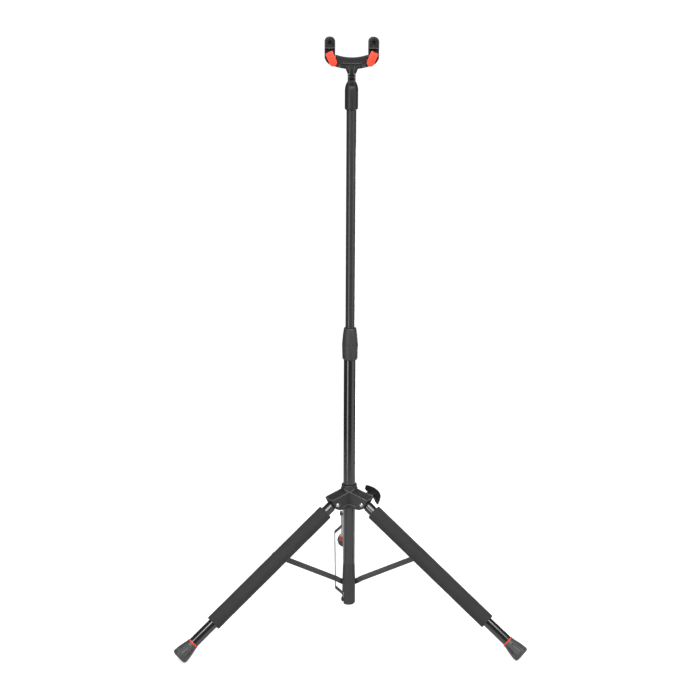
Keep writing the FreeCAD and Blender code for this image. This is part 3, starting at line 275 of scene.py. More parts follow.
BLACK_OXIDE = Finish(
    "black_oxide_steel", "black_steel", Grain.PLATED, (0.05, 0.05, 0.052), (0.02, 0.02, 0.021), 0.35, 0.08,
    0.0008, 0.00003, metallic=0.6)
BEARING_GREY = Finish(
    "natural_bearing_nylon", "bearing_plastic", Grain.MOULDED, (0.42, 0.42, 0.41), (0.3, 0.3, 0.29), 0.5,
    0.05, 0.0008, 0.00003)


def node_span(node: str) -> tuple[Vector, Vector]:
    """Find the box around a CAD node.

    Args:
        node: Name of the CAD node.

    Returns:
        Its lowest and highest corners, in the frame's metres.
    """
    low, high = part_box(node)
    return Vector(low), Vector(high)


TUBE_LOW, TUBE_HIGH = node_span("main_tube")
AXIS_Y = (TUBE_LOW.y + TUBE_HIGH.y) / 2
RAISE = TUBE_HIGH.z - TUBE_TOP * MM


def stand_point(x: float, y: float, z: float) -> Vector:
    """Turn millimetres from the mast axis and the floor into the frame's metres.

    Args:
        x: Distance to the right of the mast axis.
        y: Distance behind the mast axis.
        z: Height above the floor.

    Returns:
        The place in the frame.
    """
    return Vector((x * MM, y * MM + AXIS_Y, z * MM + RAISE))


def stand_place(turn: Matrix | None = None, at: Sequence[float] = (0.0, 0.0, 0.0)) -> Matrix:
    """Place for a piece made in millimetres about its own origin.

    Args:
        turn: Rotation of the piece, as a 4x4 matrix.
        at: Where its origin goes, in millimetres from the mast axis and the floor.

    Returns:
        A matrix from the piece's millimetres to the frame's metres.
    """
    spin = turn if turn is not None else Matrix.Identity(4)
    return Matrix.Translation(stand_point(*at)) @ spin @ Matrix.Scale(MM, 4)


def link_object(name: str, data: bpy.types.ID) -> Object:
    """Put data in a new object of the scene.

    Args:
        name: Name of the object.
        data: Its mesh, lamp or camera.

    Returns:
        The object.
    """
    thing = bpy.data.objects.new(name, data)
    bpy.context.collection.objects.link(thing)
    return thing


def loose_object(mesh: BMesh, name: str) -> Object:
    """Put a mesh in an object of the scene, to be dressed or baked.

    Args:
        mesh: The mesh, freed here.
        name: Name of the object.

    Returns:
        The object.
    """
    data = bpy.data.meshes.new(name)
    mesh.to_mesh(data)
    mesh.free()
    return link_object(name, data)


def dress(thing: Object, finish: Finish, body: str, replaced: Iterable[str] = (),
          smooth_angle: float = 35.0) -> Object:
    """Give an object its finish, smooth shading and body.

    Args:
        thing: The object, with its mesh already in place.
        finish: Its finish.
        body: The CAD body it rides on.
        replaced: CAD nodes that it stands for.
        smooth_angle: Edges under this many degrees look smooth.

    Returns:
        The same object.
    """
    data = thing.data
    data.materials.clear()
    data.materials.append(finish.material())
    data.set_sharp_from_angle(angle=math.radians(smooth_angle))
    data.polygons.foreach_set("use_smooth", [True] * len(data.polygons))
    data.polygons.foreach_set("material_index", [0] * len(data.polygons))
    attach(thing, body)
    names = list(replaced)
    if names:
        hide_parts(*names)
    log.info("%s: %d faces on %s", thing.name, len(data.polygons), body)
    return thing


def finish_piece(mesh: BMesh, name: str, finish: Finish, body: str, place: Matrix,
                 replaced: Iterable[str] = (), smooth_angle: float = 35.0) -> Object:
    """Turn a mesh in millimetres into a dressed piece on a body.

    Args:
        mesh: The mesh, freed here.
        name: Name of the piece.
        finish: Its finish.
        body: The CAD body it rides on.
        place: Matrix from the mesh to the frame.
        replaced: CAD nodes that it stands for.
        smooth_angle: Edges under this many degrees look smooth.

    Returns:
        The finished object, at the origin.
    """
    bmesh.ops.transform(mesh, matrix=place, verts=mesh.verts)
    return dress(loose_object(mesh, name), finish, body, replaced, smooth_angle)


def lathe(profile: Sequence[Point], segments: int = 96, closed: bool = False) -> BMesh:
    """Turn a profile of (radius, height) about Z.

    Args:
        profile: Points from one end to the other. A radius of 0 closes the end.
        segments: Sides of the turned piece.
        closed: Join the last point to the first, for a ring.

    Returns:
        A closed mesh with its faces outwards.
    """
    mesh = bmesh.new()
    rings: list[list[bmesh.types.BMVert]] = []
    for radius, height in profile:
        if radius <= 0.0:
            rings.append([mesh.verts.new((0.0, 0.0, height))])
            continue
        rings.append([mesh.verts.new((radius * math.cos(t), radius * math.sin(t), height))
                      for t in (2 * math.pi * i / segments for i in range(segments))])
    pairs = list(zip(rings, rings[1:]))
    if closed:
        pairs.append((rings[-1], rings[0]))
    for low, high in pairs:
        if len(low) == len(high) == 1:
            continue
        for i in range(segments):
            j = (i + 1) % segments
            if len(low) == 1:
                mesh.faces.new((low[0], high[j], high[i]))
            elif len(high) == 1:
                mesh.faces.new((low[i], low[j], high[0]))
            else:
                mesh.faces.new((low[i], low[j], high[j], high[i]))
    bmesh.ops.recalc_face_normals(mesh, faces=mesh.faces)
    return mesh


def rounded(profile: Sequence[Point], radii: dict[int, float], steps: int = 5,
            closed: bool = False) -> list[Point]:
    """Round the named corners of a profile.

    Args:
        profile: Points of the outline.
        radii: Corner number to rounding radius.
        steps: Points on each rounding.
        closed: The outline goes back to its first point.

    Returns:
        The outline with its roundings.
    """
    result: list[Point] = []
    count = len(profile)
    for i, point in enumerate(profile):
        radius = radii.get(i, 0.0)
        if radius <= 0.0 or (not closed and i in (0, count - 1)):
            result.append(point)
            continue
        here = Vector(point)
        back = Vector(profile[i - 1]) - here
        ahead = Vector(profile[(i + 1) % count]) - here
        turn = back.angle(ahead)
        reach = min(radius / math.tan(turn / 2), back.length * EDGE_SHARE, ahead.length * EDGE_SHARE)
        start = here + back.normalized() * reach
        end = here + ahead.normalized() * reach
        for k in range(steps + 1):
            t = k / steps
            spot = start * (1 - t) ** 2 + here * (2 * t * (1 - t)) + end * t ** 2
            result.append((spot.x, spot.y))
    return result


def split_spans(outline: Sequence[Point], parts: Callable[[Point, Point], int],
                closed: bool = False) -> list[Point]:
    """Cut each span of an outline into equal parts.

    Args:
        outline: Points of the outline.
        parts: Gives the number of parts from the two ends of a span.
        closed: The outline goes back to its first point.

    Returns:
        The outline with the new points.
    """
    fine: list[Point] = []
    for a, b in zip(outline, [*outline[1:], outline[0]] if closed else outline[1:]):
        count = max(1, parts(a, b))
        fine += [tuple(Vector(a).lerp(Vector(b), k / count)) for k in range(count)]
    return fine if closed else [*fine, outline[-1]]


def tube_mesh(radius: float, wall: float, low: float, high: float, edge: float = 0.3,
              segments: int = 128) -> BMesh:
    """Make an open tube along Z with rounded outer edges.

    Args:
        radius: Outside radius.
        wall: Thickness of the wall.
        low: Lower end.
        high: Upper end.
        edge: Rounding of the outer edges.
        segments: Sides of the tube.

    Returns:
        A closed mesh.
    """
    outline = [(radius - wall, low), (radius, low), (radius, high), (radius - wall, high)]
    return lathe(rounded(outline, {1: edge, 2: edge}, 3, closed=True), segments, closed=True)


def soften(mesh: BMesh, width: float, segments: int, least: float) -> BMesh:
    """Round every edge that turns by more than an angle.

    Args:
        mesh: The mesh to change.
        width: Width of the rounding.
        segments: Faces across it.
        least: Smallest turn, in degrees, that is rounded.

    Returns:
        The same mesh.
    """
    limit = math.radians(least)
    edges = [e for e in mesh.edges if len(e.link_faces) == 2 and e.calc_face_angle() > limit]
    bmesh.ops.bevel(mesh, geom=edges, offset=width, offset_type="OFFSET", segments=segments, profile=0.5,
                    affect="EDGES", clamp_overlap=True, miter_outer="ARC")
    return mesh


def cad_copy(node: str) -> BMesh:
    """Copy a CAD node's shape, welded and with its flat faces joined, in the frame's metres.

    Args:
        node: Name of the CAD node.

    Returns:
        The welded copy.
    """
    mesh = bmesh.new()
    mesh.from_mesh(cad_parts[node].data)
    bmesh.ops.remove_doubles(mesh, verts=mesh.verts, dist=WELD * MM)
    bmesh.ops.dissolve_limit(mesh, angle_limit=math.radians(FLAT_TURN), verts=mesh.verts, edges=mesh.edges,
                             delimit={"NORMAL"})
    return mesh


def moulding(node: str, finish: Finish, body: str, width: float, segments: int = 3,
             least: float = 28.0) -> Object:
    """Stand a copy with rounded edges in for a moulded CAD node.

    Args:
        node: Name of the CAD node.
        finish: Its finish.
        body: The body it belongs to.
        width: Width of the rounding in millimetres.
        segments: Faces across it.
        least: Smallest turn that is rounded, in degrees.

    Returns:
        The new piece.
    """
    mesh = soften(cad_copy(node), width * MM, segments, least)
    return finish_piece(mesh, node + "_moulding", finish, body, Matrix.Identity(4), [node])


class FieldTree(Wiring):
    """A Geometry Nodes tree with named inputs, built in the script."""

    def __init__(self, name: str) -> None:
        """Start a tree that takes a mesh and gives a mesh.

        Args:
            name: Name of the tree.
        """
        super().__init__(bpy.data.node_groups.new(name, "GeometryNodeTree"))
        for way in ("INPUT", "OUTPUT"):
            self.tree.interface.new_socket("Geometry", in_out=way, socket_type="NodeSocketGeometry")
        self.inputs = self.add("NodeGroupInput")
        self.output = self.add("NodeGroupOutput")
        self.sizes: dict[str, float] = {}

    def size(self, name: str, value: float) -> NodeSocket:
        """Add a named size to the tree's inputs.

        Args:
            name: Name of the input.
            value: Its value.

        Returns:
            The socket that gives the size inside the tree.
        """
        item = self.tree.interface.new_socket(name, in_out="INPUT", socket_type="NodeSocketFloat")
        item.default_value = value
        self.sizes[item.identifier] = value
        return self.inputs.outputs[name]

    def close(self, geometry: NodeSocket, finish: Finish) -> None:
        """End the tree in Realize Instances and Set Material.

        Args:
            geometry: The socket with the finished shape.
            finish: The finish that it gets.
        """
        solid = self.add("GeometryNodeRealizeInstances", {"Geometry": geometry})
        paint = self.add("GeometryNodeSetMaterial", {"Geometry": solid.outputs["Geometry"],
                                                     "Material": finish.material()})
        self.feed(self.output, {0: paint.outputs["Geometry"]})

    def bake(self, thing: Object) -> Object:
        """Run the tree on an object and keep the result as its mesh.

        Args:
            thing: The object that carries the start mesh.

        Returns:
            The same object, with the result and without the modifier.
        """
        modifier = thing.modifiers.new(self.tree.name, "NODES")
        modifier.node_group = self.tree
        for identifier, value in self.sizes.items():
            modifier[identifier] = value
        depsgraph = bpy.context.evaluated_depsgraph_get()
        result = bpy.data.meshes.new_from_object(thing.evaluated_get(depsgraph))
        thing.modifiers.remove(modifier)
        thing.data = result
        return thing


def bead(path: Sequence[Spot], radius: float, name: str, body: str, place: Matrix | None = None,
         closed: bool = False) -> Object:
    """Run a round raised bead along a smooth path with Geometry Nodes, in the lighter ridge black that paints a
    highlight along it.

    Args:
        path: Points in millimetres that the bead passes through.
        radius: Radius of the bead.
        name: Name of the piece.
        body: The CAD body it rides on.
        place: Matrix from the path to the frame, if not the mast's own.
        closed: Whether the last point joins the first.

    Returns:
        The dressed bead.
    """
    count = len(path)
    line = bpy.data.meshes.new(name)
    links = [(k, k + 1) for k in range(count - 1)] + ([(count - 1, 0)] if closed else [])
    line.from_pydata([tuple(point) for point in path], links, [])
    thing = link_object(name, line)
    tree = FieldTree(name + "_tree")
    size = tree.size("Radius", radius)
    curve = tree.add("GeometryNodeMeshToCurve", {0: tree.inputs.outputs["Geometry"]})
    smooth = tree.add("GeometryNodeCurveSplineType", {0: curve.outputs[0]}, spline_type="CATMULL_ROM")
    ring = tree.add("GeometryNodeCurvePrimitiveCircle", {"Resolution": BEAD_SIDES, "Radius": size})
    tube = tree.add("GeometryNodeCurveToMesh", {"Curve": smooth.outputs[0], "Fill Caps": True,
                                                "Profile Curve": ring.outputs["Curve"]})
    tree.close(tube.outputs["Mesh"], RIDGE_HIGHLIGHT_BLACK)
    tree.bake(thing)
    thing.data.transform(stand_place() if place is None else place)
    return dress(thing, RIDGE_HIGHLIGHT_BLACK, body, (), 60.0)


def loop_points(count: int, width: float, height: float) -> list[Point]:
    """Points round an upright or a lying oval.

    Args:
        count: Number of points.
        width: Half its width.
        height: Half its height.

    Returns:
        The points, about the oval's middle.
    """
    return [(width * math.cos(math.tau * k / count), height * math.sin(math.tau * k / count))
            for k in range(count)]


@dataclass
class MastTubes:
    """The lower tube with its boot, and the brace screws."""

    tube_radius: float = 12.7
    tube_wall: float = 1.5
    tube_low: float = 131.0

    def build(self) -> None:
        """Make and dress the lower tube, its boot and the screws."""
        mesh = tube_mesh(self.tube_radius, self.tube_wall, self.tube_low, TUBE_TOP)
        finish_piece(mesh, "main_tube_enamelled", GLOSS_ENAMEL, "mast", stand_place(), ["main_tube"])
        moulding("base_boot", BOOT_BLACK, "mast", 0.7)
        moulding("boot_screws", BLACK_OXIDE, "mast", 0.3, 2, 40.0)


@dataclass
class Clutch:
    """The twist clutch half way up the mast. A point is a radius and a height."""

    low: float = 584.5
    split: float = 618.0
    high: float = 652.0
    seam: float = 0.25
    skirt_radius: float = 12.72
    rim_radius: float = 13.6
    flare: Point = (15.75, 587.5)
    mid_radius: float = 16.55
    thread: Point = (13.2, 633.0)
    seat_radius: float = 10.9
    nut_bore: float = 13.28
    cone: Point = (14.5, 640.0)
    neck: Point = (13.1, 649.6)
    lip_radius: float = 12.3
    throat: Point = (9.95, 646.5)
    taper: tuple[Point, Point] = ((11.6, 643.3), (13.0, 633.3))

    def build(self) -> None:
        """Make the fixed half, the nut and the collet."""
        top = self.split - self.seam
        lower = [(self.skirt_radius, self.low), (self.rim_radius, self.low), self.flare,
                 (self.mid_radius, top), (self.thread[0], top), self.thread,
                 (self.seat_radius, self.thread[1]), (self.seat_radius, TUBE_TOP),
                 (self.skirt_radius, TUBE_TOP)]
        body = lathe(rounded(lower, {1: 0.8, 2: 1.4, 3: 0.35}, 4, closed=True), 128, closed=True)
        finish_piece(body, "clutch_body_moulding", MOULDED_BLACK, "mast", stand_place(), ["clutch_body"])
        upper = [(self.nut_bore, self.split), (self.mid_radius, self.split), self.cone, self.neck,
                 (self.lip_radius, self.high), (self.throat[0], self.high), self.throat, *self.taper,
                 (self.nut_bore, self.thread[1])]
        softer = rounded(upper, {1: 0.35, 2: 6.0, 3: 1.2, 4: 0.9, 5: 0.4}, 5, closed=True)
        nut = lathe(softer, 128, closed=True)
        finish_piece(nut, "clutch_nut_moulding", MOULDED_BLACK, "clutch_nut", stand_place(), ["clutch_nut"])
        moulding("clutch_collet", BEARING_GREY, "mast", 0.2, 2)


@dataclass
class UpperMast:
    """The upper tube with its forked collar."""

    tube_radius: float = 9.75
    tube_wall: float = 1.2
    tube_low: float = 587.78
    tube_high: float = 1130.0

    def build(self) -> None:
        """Make and dress the upper tube, its glide, collar and tilt pin."""
        mesh = tube_mesh(self.tube_radius, self.tube_wall, self.tube_low, self.tube_high)
        finish_piece(mesh, "upper_tube_enamelled", SATIN_ENAMEL, "upper_mast", stand_place(), ["upper_tube"])
        moulding("top_collar", FINE_BLACK, "upper_mast", 0.55)
        moulding("yoke_pin", BLACK_OXIDE, "upper_mast", 0.3, 2)
        moulding("tube_glide", BEARING_GREY, "glide", 0.3, 2)


@dataclass
class Yoke:
    """The neck yoke: frame, caps, saddle, gates and knuckle."""

    half: float = 53.0
    inner_half: float = 32.5
    front: float = -5.0
    proud: float = 0.1
    cap_face: float = -12.4
    cap_low: float = 1215.0
    cap_high: float = 1237.2
    rest: float = 1190.5
    sag: float = 5.5
    spring_floor: float = 1.177416
    spring_keep: float = 0.44
    border_inset: float = 1.3
    border_radius: float = 0.5
    jamb_rises: Spot = (0.9, 5.0, 10.0)
    crown_inset: float = 1.2
    crown_drop: float = 9.0
    crown_rise: float = 7.7
    crown_spans: int = 8
    sill_radius: float = 0.65
    line_sizes: tuple[Spot, ...] = ((5.2, 19.5, 0.55), (11.0, 19.0, 0.45))
    line_spans: int = 6
    pad_middle: float = 24.5
    pad_drop: float = 9.0
    pad_half: float = 3.4
    pad_rise: float = 1.7
    pad_radius: float = 0.6
    edges: tuple[tuple[str, str, float, tuple[Spot, ...]], ...] = (
        ("knuckle_ridge", "yoke", 0.8,
         ((3.6, -8.0, 1166.4), (4.2, -8.1, 1171.0), (5.2, -8.2, 1176.0), (5.6, -7.9, 1181.4))),
        ("fork_edge", "upper_mast", 0.6,
         ((4.9, -6.6, 1147.5), (4.9, -6.7, 1150.0), (4.9, -6.7, 1153.5), (4.9, -6.6, 1156.0))))

    def build(self) -> None:
        """Make and dress every piece of the yoke."""
        moulding("yoke_frame", SMOOTH_BLACK, "yoke", 1.1, 4, 30.0)
        moulding("yoke_knuckle", SMOOTH_BLACK, "yoke", 0.6)
        for side, _ in SIDES:
            moulding("arm_cap_" + side, SMOOTH_BLACK, "yoke", 0.9, 4, 30.0)
            moulding("gate_" + side, SIGNAL_ORANGE, "gate_" + side, 0.7, 3, 30.0)
        moulding("saddle", SADDLE_RUBBER, "saddle", 1.4, 4)
        moulding("gate_pins", BLACK_OXIDE, "yoke", 0.3, 2)
        moulding("cap_screws", ZINC, "yoke", 0.4, 2)
        springs = moulding("saddle_springs", ZINC, "yoke", 0.1, 1)
        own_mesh(springs)
        self._cap_borders()
        self._saddle_lines()
        self._edges()

    def _cap_borders(self) -> None:
        """Raise a thin border and a sill around the face of each arm cap."""
        middle = (self.half + self.inner_half) / 2
        reach = (self.half - self.inner_half) / 2 - self.border_inset
        crown_reach = reach - self.crown_inset
        jamb = [(reach, self.cap_low + rise) for rise in self.jamb_rises]
        crown = [(-crown_reach * math.cos(turn) - (reach - crown_reach) * math.cos(turn) ** 3,
                  self.cap_high - self.crown_drop + self.crown_rise * math.sin(turn))
                 for turn in (math.pi * k / self.crown_spans for k in range(self.crown_spans + 1))]
        border = [*((-x, z) for x, z in jamb), *crown, *reversed(jamb)]
        sill = [(reach * share, jamb[0][1]) for share in (-1.0, 0.0, 1.0)]
        lines = (("border", border, self.border_radius), ("sill", sill, self.sill_radius))
        for name, side in SIDES:
            for kind, path, radius in lines:
                points = [(middle * side + x, self.cap_face, z) for x, z in path]
                bead(points, radius, f"cap_{kind}_{name}", "yoke")

    def _saddle_lines(self) -> None:
        """Raise the two long lines and the pads on the front of the cross bar."""
        face = self.front - self.proud
        spans = range(-self.line_spans, self.line_spans + 1)
        for drop, width, radius in self.line_sizes:
            points = [(x, face, self.rest - drop + self.sag * (x / self.inner_half) ** 2)
                      for x in (width * k / self.line_spans for k in spans)]
            bead(points, radius, f"saddle_line_{drop:.0f}", "yoke")
        for name, side in SIDES:
            ring = [(side * self.pad_middle + x, face, self.rest - self.pad_drop + z)
                    for x, z in loop_points(12, self.pad_half, self.pad_rise)]
            bead(ring, self.pad_radius, f"saddle_pad_{name}", "yoke", closed=True)

    def _edges(self) -> None:
        """Raise the two ridges on the knuckle and the two edges of the fork."""
        for kind, body, radius, path in self.edges:
            for name, side in SIDES:
                bead([(side * x, y, z) for x, y, z in path], radius, f"{kind}_{name}", body)


@dataclass
class Hub:
    """The sliding hub with its bolts, liner and wing knob."""

    arm_half: float = 14.4
    root_reach: float = 10.0
    root_top: float = 298.0
    tip_reach: float = 50.5
    tip_top: float = 286.5
    sleeve_radius: float = 16.4
    ridge_radius: float = 1.15
    ridge_sink: float = 0.55
    ridge_hug: float = 0.3
    sleeve_turns: tuple[Point, ...] = ((100.0, 6.6), (88.0, 4.4), (76.0, 2.4), (64.0, 0.8))
    ridge_reaches: Spot = (12.0, 22.0, 34.0)
    corner_run: float = 5.0
    corner_cut: Point = (0.9, 1.1)
    corner_back: float = 1.0
    corner_turn: float = 4.0
    brow_height: float = 271.5
    brow_half: float = 13.5
    brow_drop: float = 3.4
    brow_blend: float = 2.4
    brow_proud: float = 0.2
    brow_radius: float = 0.75
    valley_turn: float = 30.0
    bolt_reach: float = 36.5
    bolt_height: float = 274.9
    shank_radius: float = 2.5
    head_radius: float = 4.1
    head_seat: float = -1.6
    head_rim: float = 0.2
    dome: Point = (2.9, 1.3)
    dish: Point = (1.5, 1.3)
    dish_radius: float = 1.1
    recess_radius: float = 5.2
    recess_bead: float = 0.6

    def build(self) -> None:
        """Make and dress the hub and the knob."""
        for _, azimuth, side in LEGS:
            self._ridges(azimuth)
            self._bolt(azimuth, side)
        self._brow()
        moulding("hub_shell", HUB_BLACK, "hub", 1.2, 4, 20.0)
        moulding("hub_liner", BEARING_GREY, "hub", 0.2, 1)
        moulding("clamp_pad", BEARING_GREY, "hub", 0.2, 1)
        moulding("leg_nuts", ZINC, "hub", 0.35, 2)
        moulding("wing_knob", SMOOTH_BLACK, "wing_knob", 2.0, 4)
        moulding("knob_stud", ZINC, "wing_knob", 0.4, 2)

    def _roof(self, reach: float) -> float:
        """Find the height of an arm's roof.

        Args:
            reach: Distance from the mast axis.

        Returns:
            The height there.
        """
        share = (reach - self.root_reach) / (self.tip_reach - self.root_reach)
        return self.root_top + share * (self.tip_top - self.root_top)

    def _ridges(self, azimuth: float) -> None:
        """Round one arm's roof with a raised ridge that runs on around the sleeve.

        Args:
            azimuth: Direction of the arm, in degrees.
        """
        edge = self.arm_half - self.ridge_radius * self.ridge_sink
        end = self.tip_reach - self.ridge_radius
        hug = self.sleeve_radius + self.ridge_radius * self.ridge_hug
        half: list[Spot] = []
        for turn, rise in self.sleeve_turns:
            around = math.radians(turn)
            half.append((hug * math.cos(around), hug * math.sin(around), self._roof(self.root_reach) + rise))
        half += [(reach, edge, self._roof(reach)) for reach in (*self.ridge_reaches, end - self.corner_run)]
        half.append((end - self.corner_cut[0], edge - self.corner_cut[1], self._roof(end - self.corner_back)))
        half.append((end, edge - self.corner_turn, self._roof(end)))
        other = [(x, -y, z) for x, y, z in reversed(half)]
        bead([*half, (end, 0.0, self._roof(end)), *other], self.ridge_radius, f"hub_ridge_{azimuth:.0f}",
             "hub", stand_place(Matrix.Rotation(math.radians(azimuth), 4, "Z")))

    def _brow(self) -> None:
        """Raise the low arch on the front of the hub, between the two bolts."""
        lean = math.cos(math.radians(self.valley_turn))
        points = [(x, -(self.arm_half + math.hypot(x, self.brow_blend) / 2) / lean - self.brow_proud,
                   self.brow_height - self.brow_drop * (x / self.brow_half) ** 2)
                  for x in (self.brow_half * k / 6 for k in range(-6, 7))]
        bead(points, self.brow_radius, "hub_brow", "hub")

    def _bolt(self, azimuth: float, side: float) -> None:
        """Turn one leg bolt with a domed, dished head and a bead around its recess.

        Args:
            azimuth: Direction of the arm, in degrees.
            side: Which face of the arm the head is on.
        """
        tip = -2.0 * self.arm_half
        outline = [(0.0, tip), (self.shank_radius, tip), (self.shank_radius, self.head_seat),
                   (self.head_radius, self.head_seat), (self.head_radius, self.head_rim), self.dome,
                   self.dish, (self.dish_radius, self.head_rim), (0.0, self.head_rim)]
        turn = Matrix.Rotation(math.radians(azimuth), 4, "Z")
        at = turn @ Vector((self.bolt_reach, side * self.arm_half, self.bolt_height))
        place = stand_place(turn @ Matrix.Rotation(math.radians(-90.0 * side), 4, "X"), at)
        finish_piece(lathe(rounded(outline, {1: 0.3, 3: 0.2, 4: 0.8, 5: 0.8, 6: 0.3}, 4), 48),
                     f"leg_bolt_{azimuth:.0f}", ZINC, "hub", place, ["leg_bolts"] if azimuth == 90.0 else ())
        ring = [(x, y, 0.0) for x, y in loop_points(16, self.recess_radius, self.recess_radius)]
        bead(ring, self.recess_bead, f"bolt_rim_{azimuth:.0f}", "hub", place, True)


FLUTES = {"Flutes": 8.0, "Depth": 2.0, "Lip": 0.6, "Start": 420.0, "End": 444.0, "Half Width": 0.6}


@dataclass
class Leg:
    """One leg, made along X from the hub pivot."""

    name: str
    azimuth: float
    slope: float = 35.45
    pivot_reach: float = 36.5
    pivot_height: float = 274.9
    tube_radius: float = 11.0
    tube_wall: float = 1.2
    tube_start: float = 10.0
    tube_end: float = 440.0
    tube_edge: float = 0.4
    foam_bore: float = 11.3
    foam_start: float = 27.2
    foam_end: float = 353.7
    foam_radius: float = 16.2
    foam_edge: float = 2.2
    foam_step: float = 3.0
    foam_skin_from: float = 13.0
    hollow: float = 0.09
    ring_start: float = 409.6
    ring_width: float = 2.8
    ring_radius: float = 12.5
    ring_edge: float = 0.9
    neck_radius: float = 12.1
    neck_edge: float = 0.5
    foot_radius: float = 18.5
    foot_end: float = 451.2
    foot_round: float = 7.3
    foot_step: float = 0.6
    foot_skin_from: float = 11.5
    flute_square: float = 6.0
    flute_blend: float = 0.55
    lip_sharpness: float = 3.2

    @property
    def body(self) -> str:
        """Name the CAD body of this leg.

        Returns:
            The body's name.
        """
        return "leg_" + self.name

    def place(self) -> Matrix:
        """Place for a mesh whose length lies along its own Z.

        Returns:
            A matrix from the leg's millimetres to the frame.
        """
        turn = math.radians(self.azimuth)
        spin = Matrix.Rotation(turn, 4, "Z") @ Matrix.Rotation(math.radians(self.slope + 90.0), 4, "Y")
        at = (self.pivot_reach * math.cos(turn), self.pivot_reach * math.sin(turn), self.pivot_height)
        return stand_place(spin, at)

    def build(self) -> None:
        """Make and dress the tube, plug, ring, foot and foam."""
        mesh = tube_mesh(self.tube_radius, self.tube_wall, self.tube_start, self.tube_end, self.tube_edge, 96)
        finish_piece(mesh, f"leg_tube_{self.name}_enamelled", GLOSS_ENAMEL, self.body, self.place(),
                     [f"leg_tube_{self.name}"])
        moulding("leg_plug_" + self.name, SMOOTH_BLACK, self.body, 0.5)
        moulding("leg_pin_" + self.name, BLACK_OXIDE, self.body, 0.3, 2)
        self._ring()
        self._foot()
        if self.name != "rear":
            self._foam()

    def _ring(self) -> None:
        """Turn the orange ring above the foot."""
        low, high = self.ring_start, self.ring_start + self.ring_width
        outline = rounded([(self.tube_radius, low), (self.ring_radius, low), (self.ring_radius, high),
                           (self.tube_radius, high)], {1: self.ring_edge, 2: self.ring_edge}, 5, closed=True)
        finish_piece(lathe(outline, 96, closed=True), f"foot_ring_{self.name}_moulding", SIGNAL_ORANGE,
                     self.body, self.place(), [f"foot_ring_{self.name}"])

    def _foot_parts(self, a: Point, b: Point) -> int:
        """Count the parts of a span of the foot's outline: many on the skin, one inside.

        Args:
            a: First end of the span.
            b: Last end of the span.

        Returns:
            The number of parts.
        """
        if min(a[0], b[0]) <= self.foot_skin_from:
            return 1
        return round((Vector(b) - Vector(a)).length / self.foot_step)

    def _foot(self) -> None:
        """Turn the flared rubber foot and cut its long flutes."""
        start = self.ring_start + self.ring_width
        outline = rounded([(self.tube_radius, self.tube_end), (self.tube_radius, start),
                           (self.neck_radius, start), (self.foot_radius, self.foot_end),
                           (0.0, self.foot_end), (0.0, self.tube_end)],
                          {2: self.neck_edge, 3: self.foot_round}, 8)
        thing = loose_object(lathe(split_spans(outline, self._foot_parts), 256), f"foot_{self.name}_rubber")
        self._flute_tree().bake(thing)
        thing.data.transform(self.place())
        dress(thing, FOOT_RUBBER, self.body, [f"foot_{self.name}"], 50.0)

    def _flute_tree(self) -> FieldTree:
        """Write the rule that presses round-ended flutes with a raised lip into the foot.

        Returns:
            The tree, which moves each point in or out from the foot's axis.
        """
        tree = FieldTree(f"foot_flutes_{self.name}")
        count, depth, lip, low, high, half = (tree.size(*entry) for entry in FLUTES.items())
        spot = tree.add("GeometryNodeInputPosition").outputs[0]
        split = tree.add("ShaderNodeSeparateXYZ", {0: spot})
        angle = tree.sum("ARCTAN2", split.outputs[1], split.outputs[0])
        wave = tree.sum("COSINE", tree.sum("MULTIPLY", angle, count))
        across = tree.sum("DIVIDE", tree.sum("SUBTRACT", 1.0, wave), half)
        run = tree.sum("SUBTRACT", split.outputs[2], low)
        share = tree.sum("DIVIDE", run, tree.sum("SUBTRACT", high, low))
        centred = tree.sum("SUBTRACT", tree.sum("MULTIPLY", share, 2.0), 1.0)
        along = tree.sum("POWER", tree.sum("ABSOLUTE", centred), self.flute_square)
        inside = tree.sum("SUBTRACT", 1.0, tree.sum("ADD", tree.sum("POWER", across, 2.0), along))
        clear = tree.add("ShaderNodeMapRange", {"From Max": self.flute_blend, "Value": inside},
                         interpolation_type="SMOOTHSTEP")
        off_rim = tree.sum("MULTIPLY", tree.sum("ABSOLUTE", inside), self.lip_sharpness)
        rim = tree.sum("MAXIMUM", 0.0, tree.sum("SUBTRACT", 1.0, off_rim))
        raised = tree.sum("MULTIPLY", rim, lip)
        deep = tree.sum("SUBTRACT", raised, tree.sum("MULTIPLY", clear.outputs[0], depth))
        flat = tree.add("ShaderNodeVectorMath", {0: spot, 1: (1.0, 1.0, 0.0)}, operation="MULTIPLY")
        out = tree.add("ShaderNodeVectorMath", {0: flat.outputs[0]}, operation="NORMALIZE")
        move = tree.add("ShaderNodeVectorMath", {0: out.outputs[0], "Scale": deep}, operation="SCALE")
        shift = tree.add("GeometryNodeSetPosition", {"Geometry": tree.inputs.outputs["Geometry"],
                                                     "Offset": move.outputs[0]})
        tree.close(shift.outputs[0], FOOT_RUBBER)
        return tree

    def _ripple(self, turn: float, length: float) -> float:
        """Give the slight waviness of the foam's skin.

        Args:
            turn: Angle round the sleeve, in radians.
            length: Distance along the leg.

        Returns:
            The waviness there, between about -2 and 2.
        """
        phase = self.azimuth
        return (math.sin(length * 0.041 + phase) * math.cos(turn * 2 + phase)
                + 0.6 * math.sin(length * 0.093 + 2 * turn) + 0.4 * math.cos(length * 0.17 - 3 * turn))

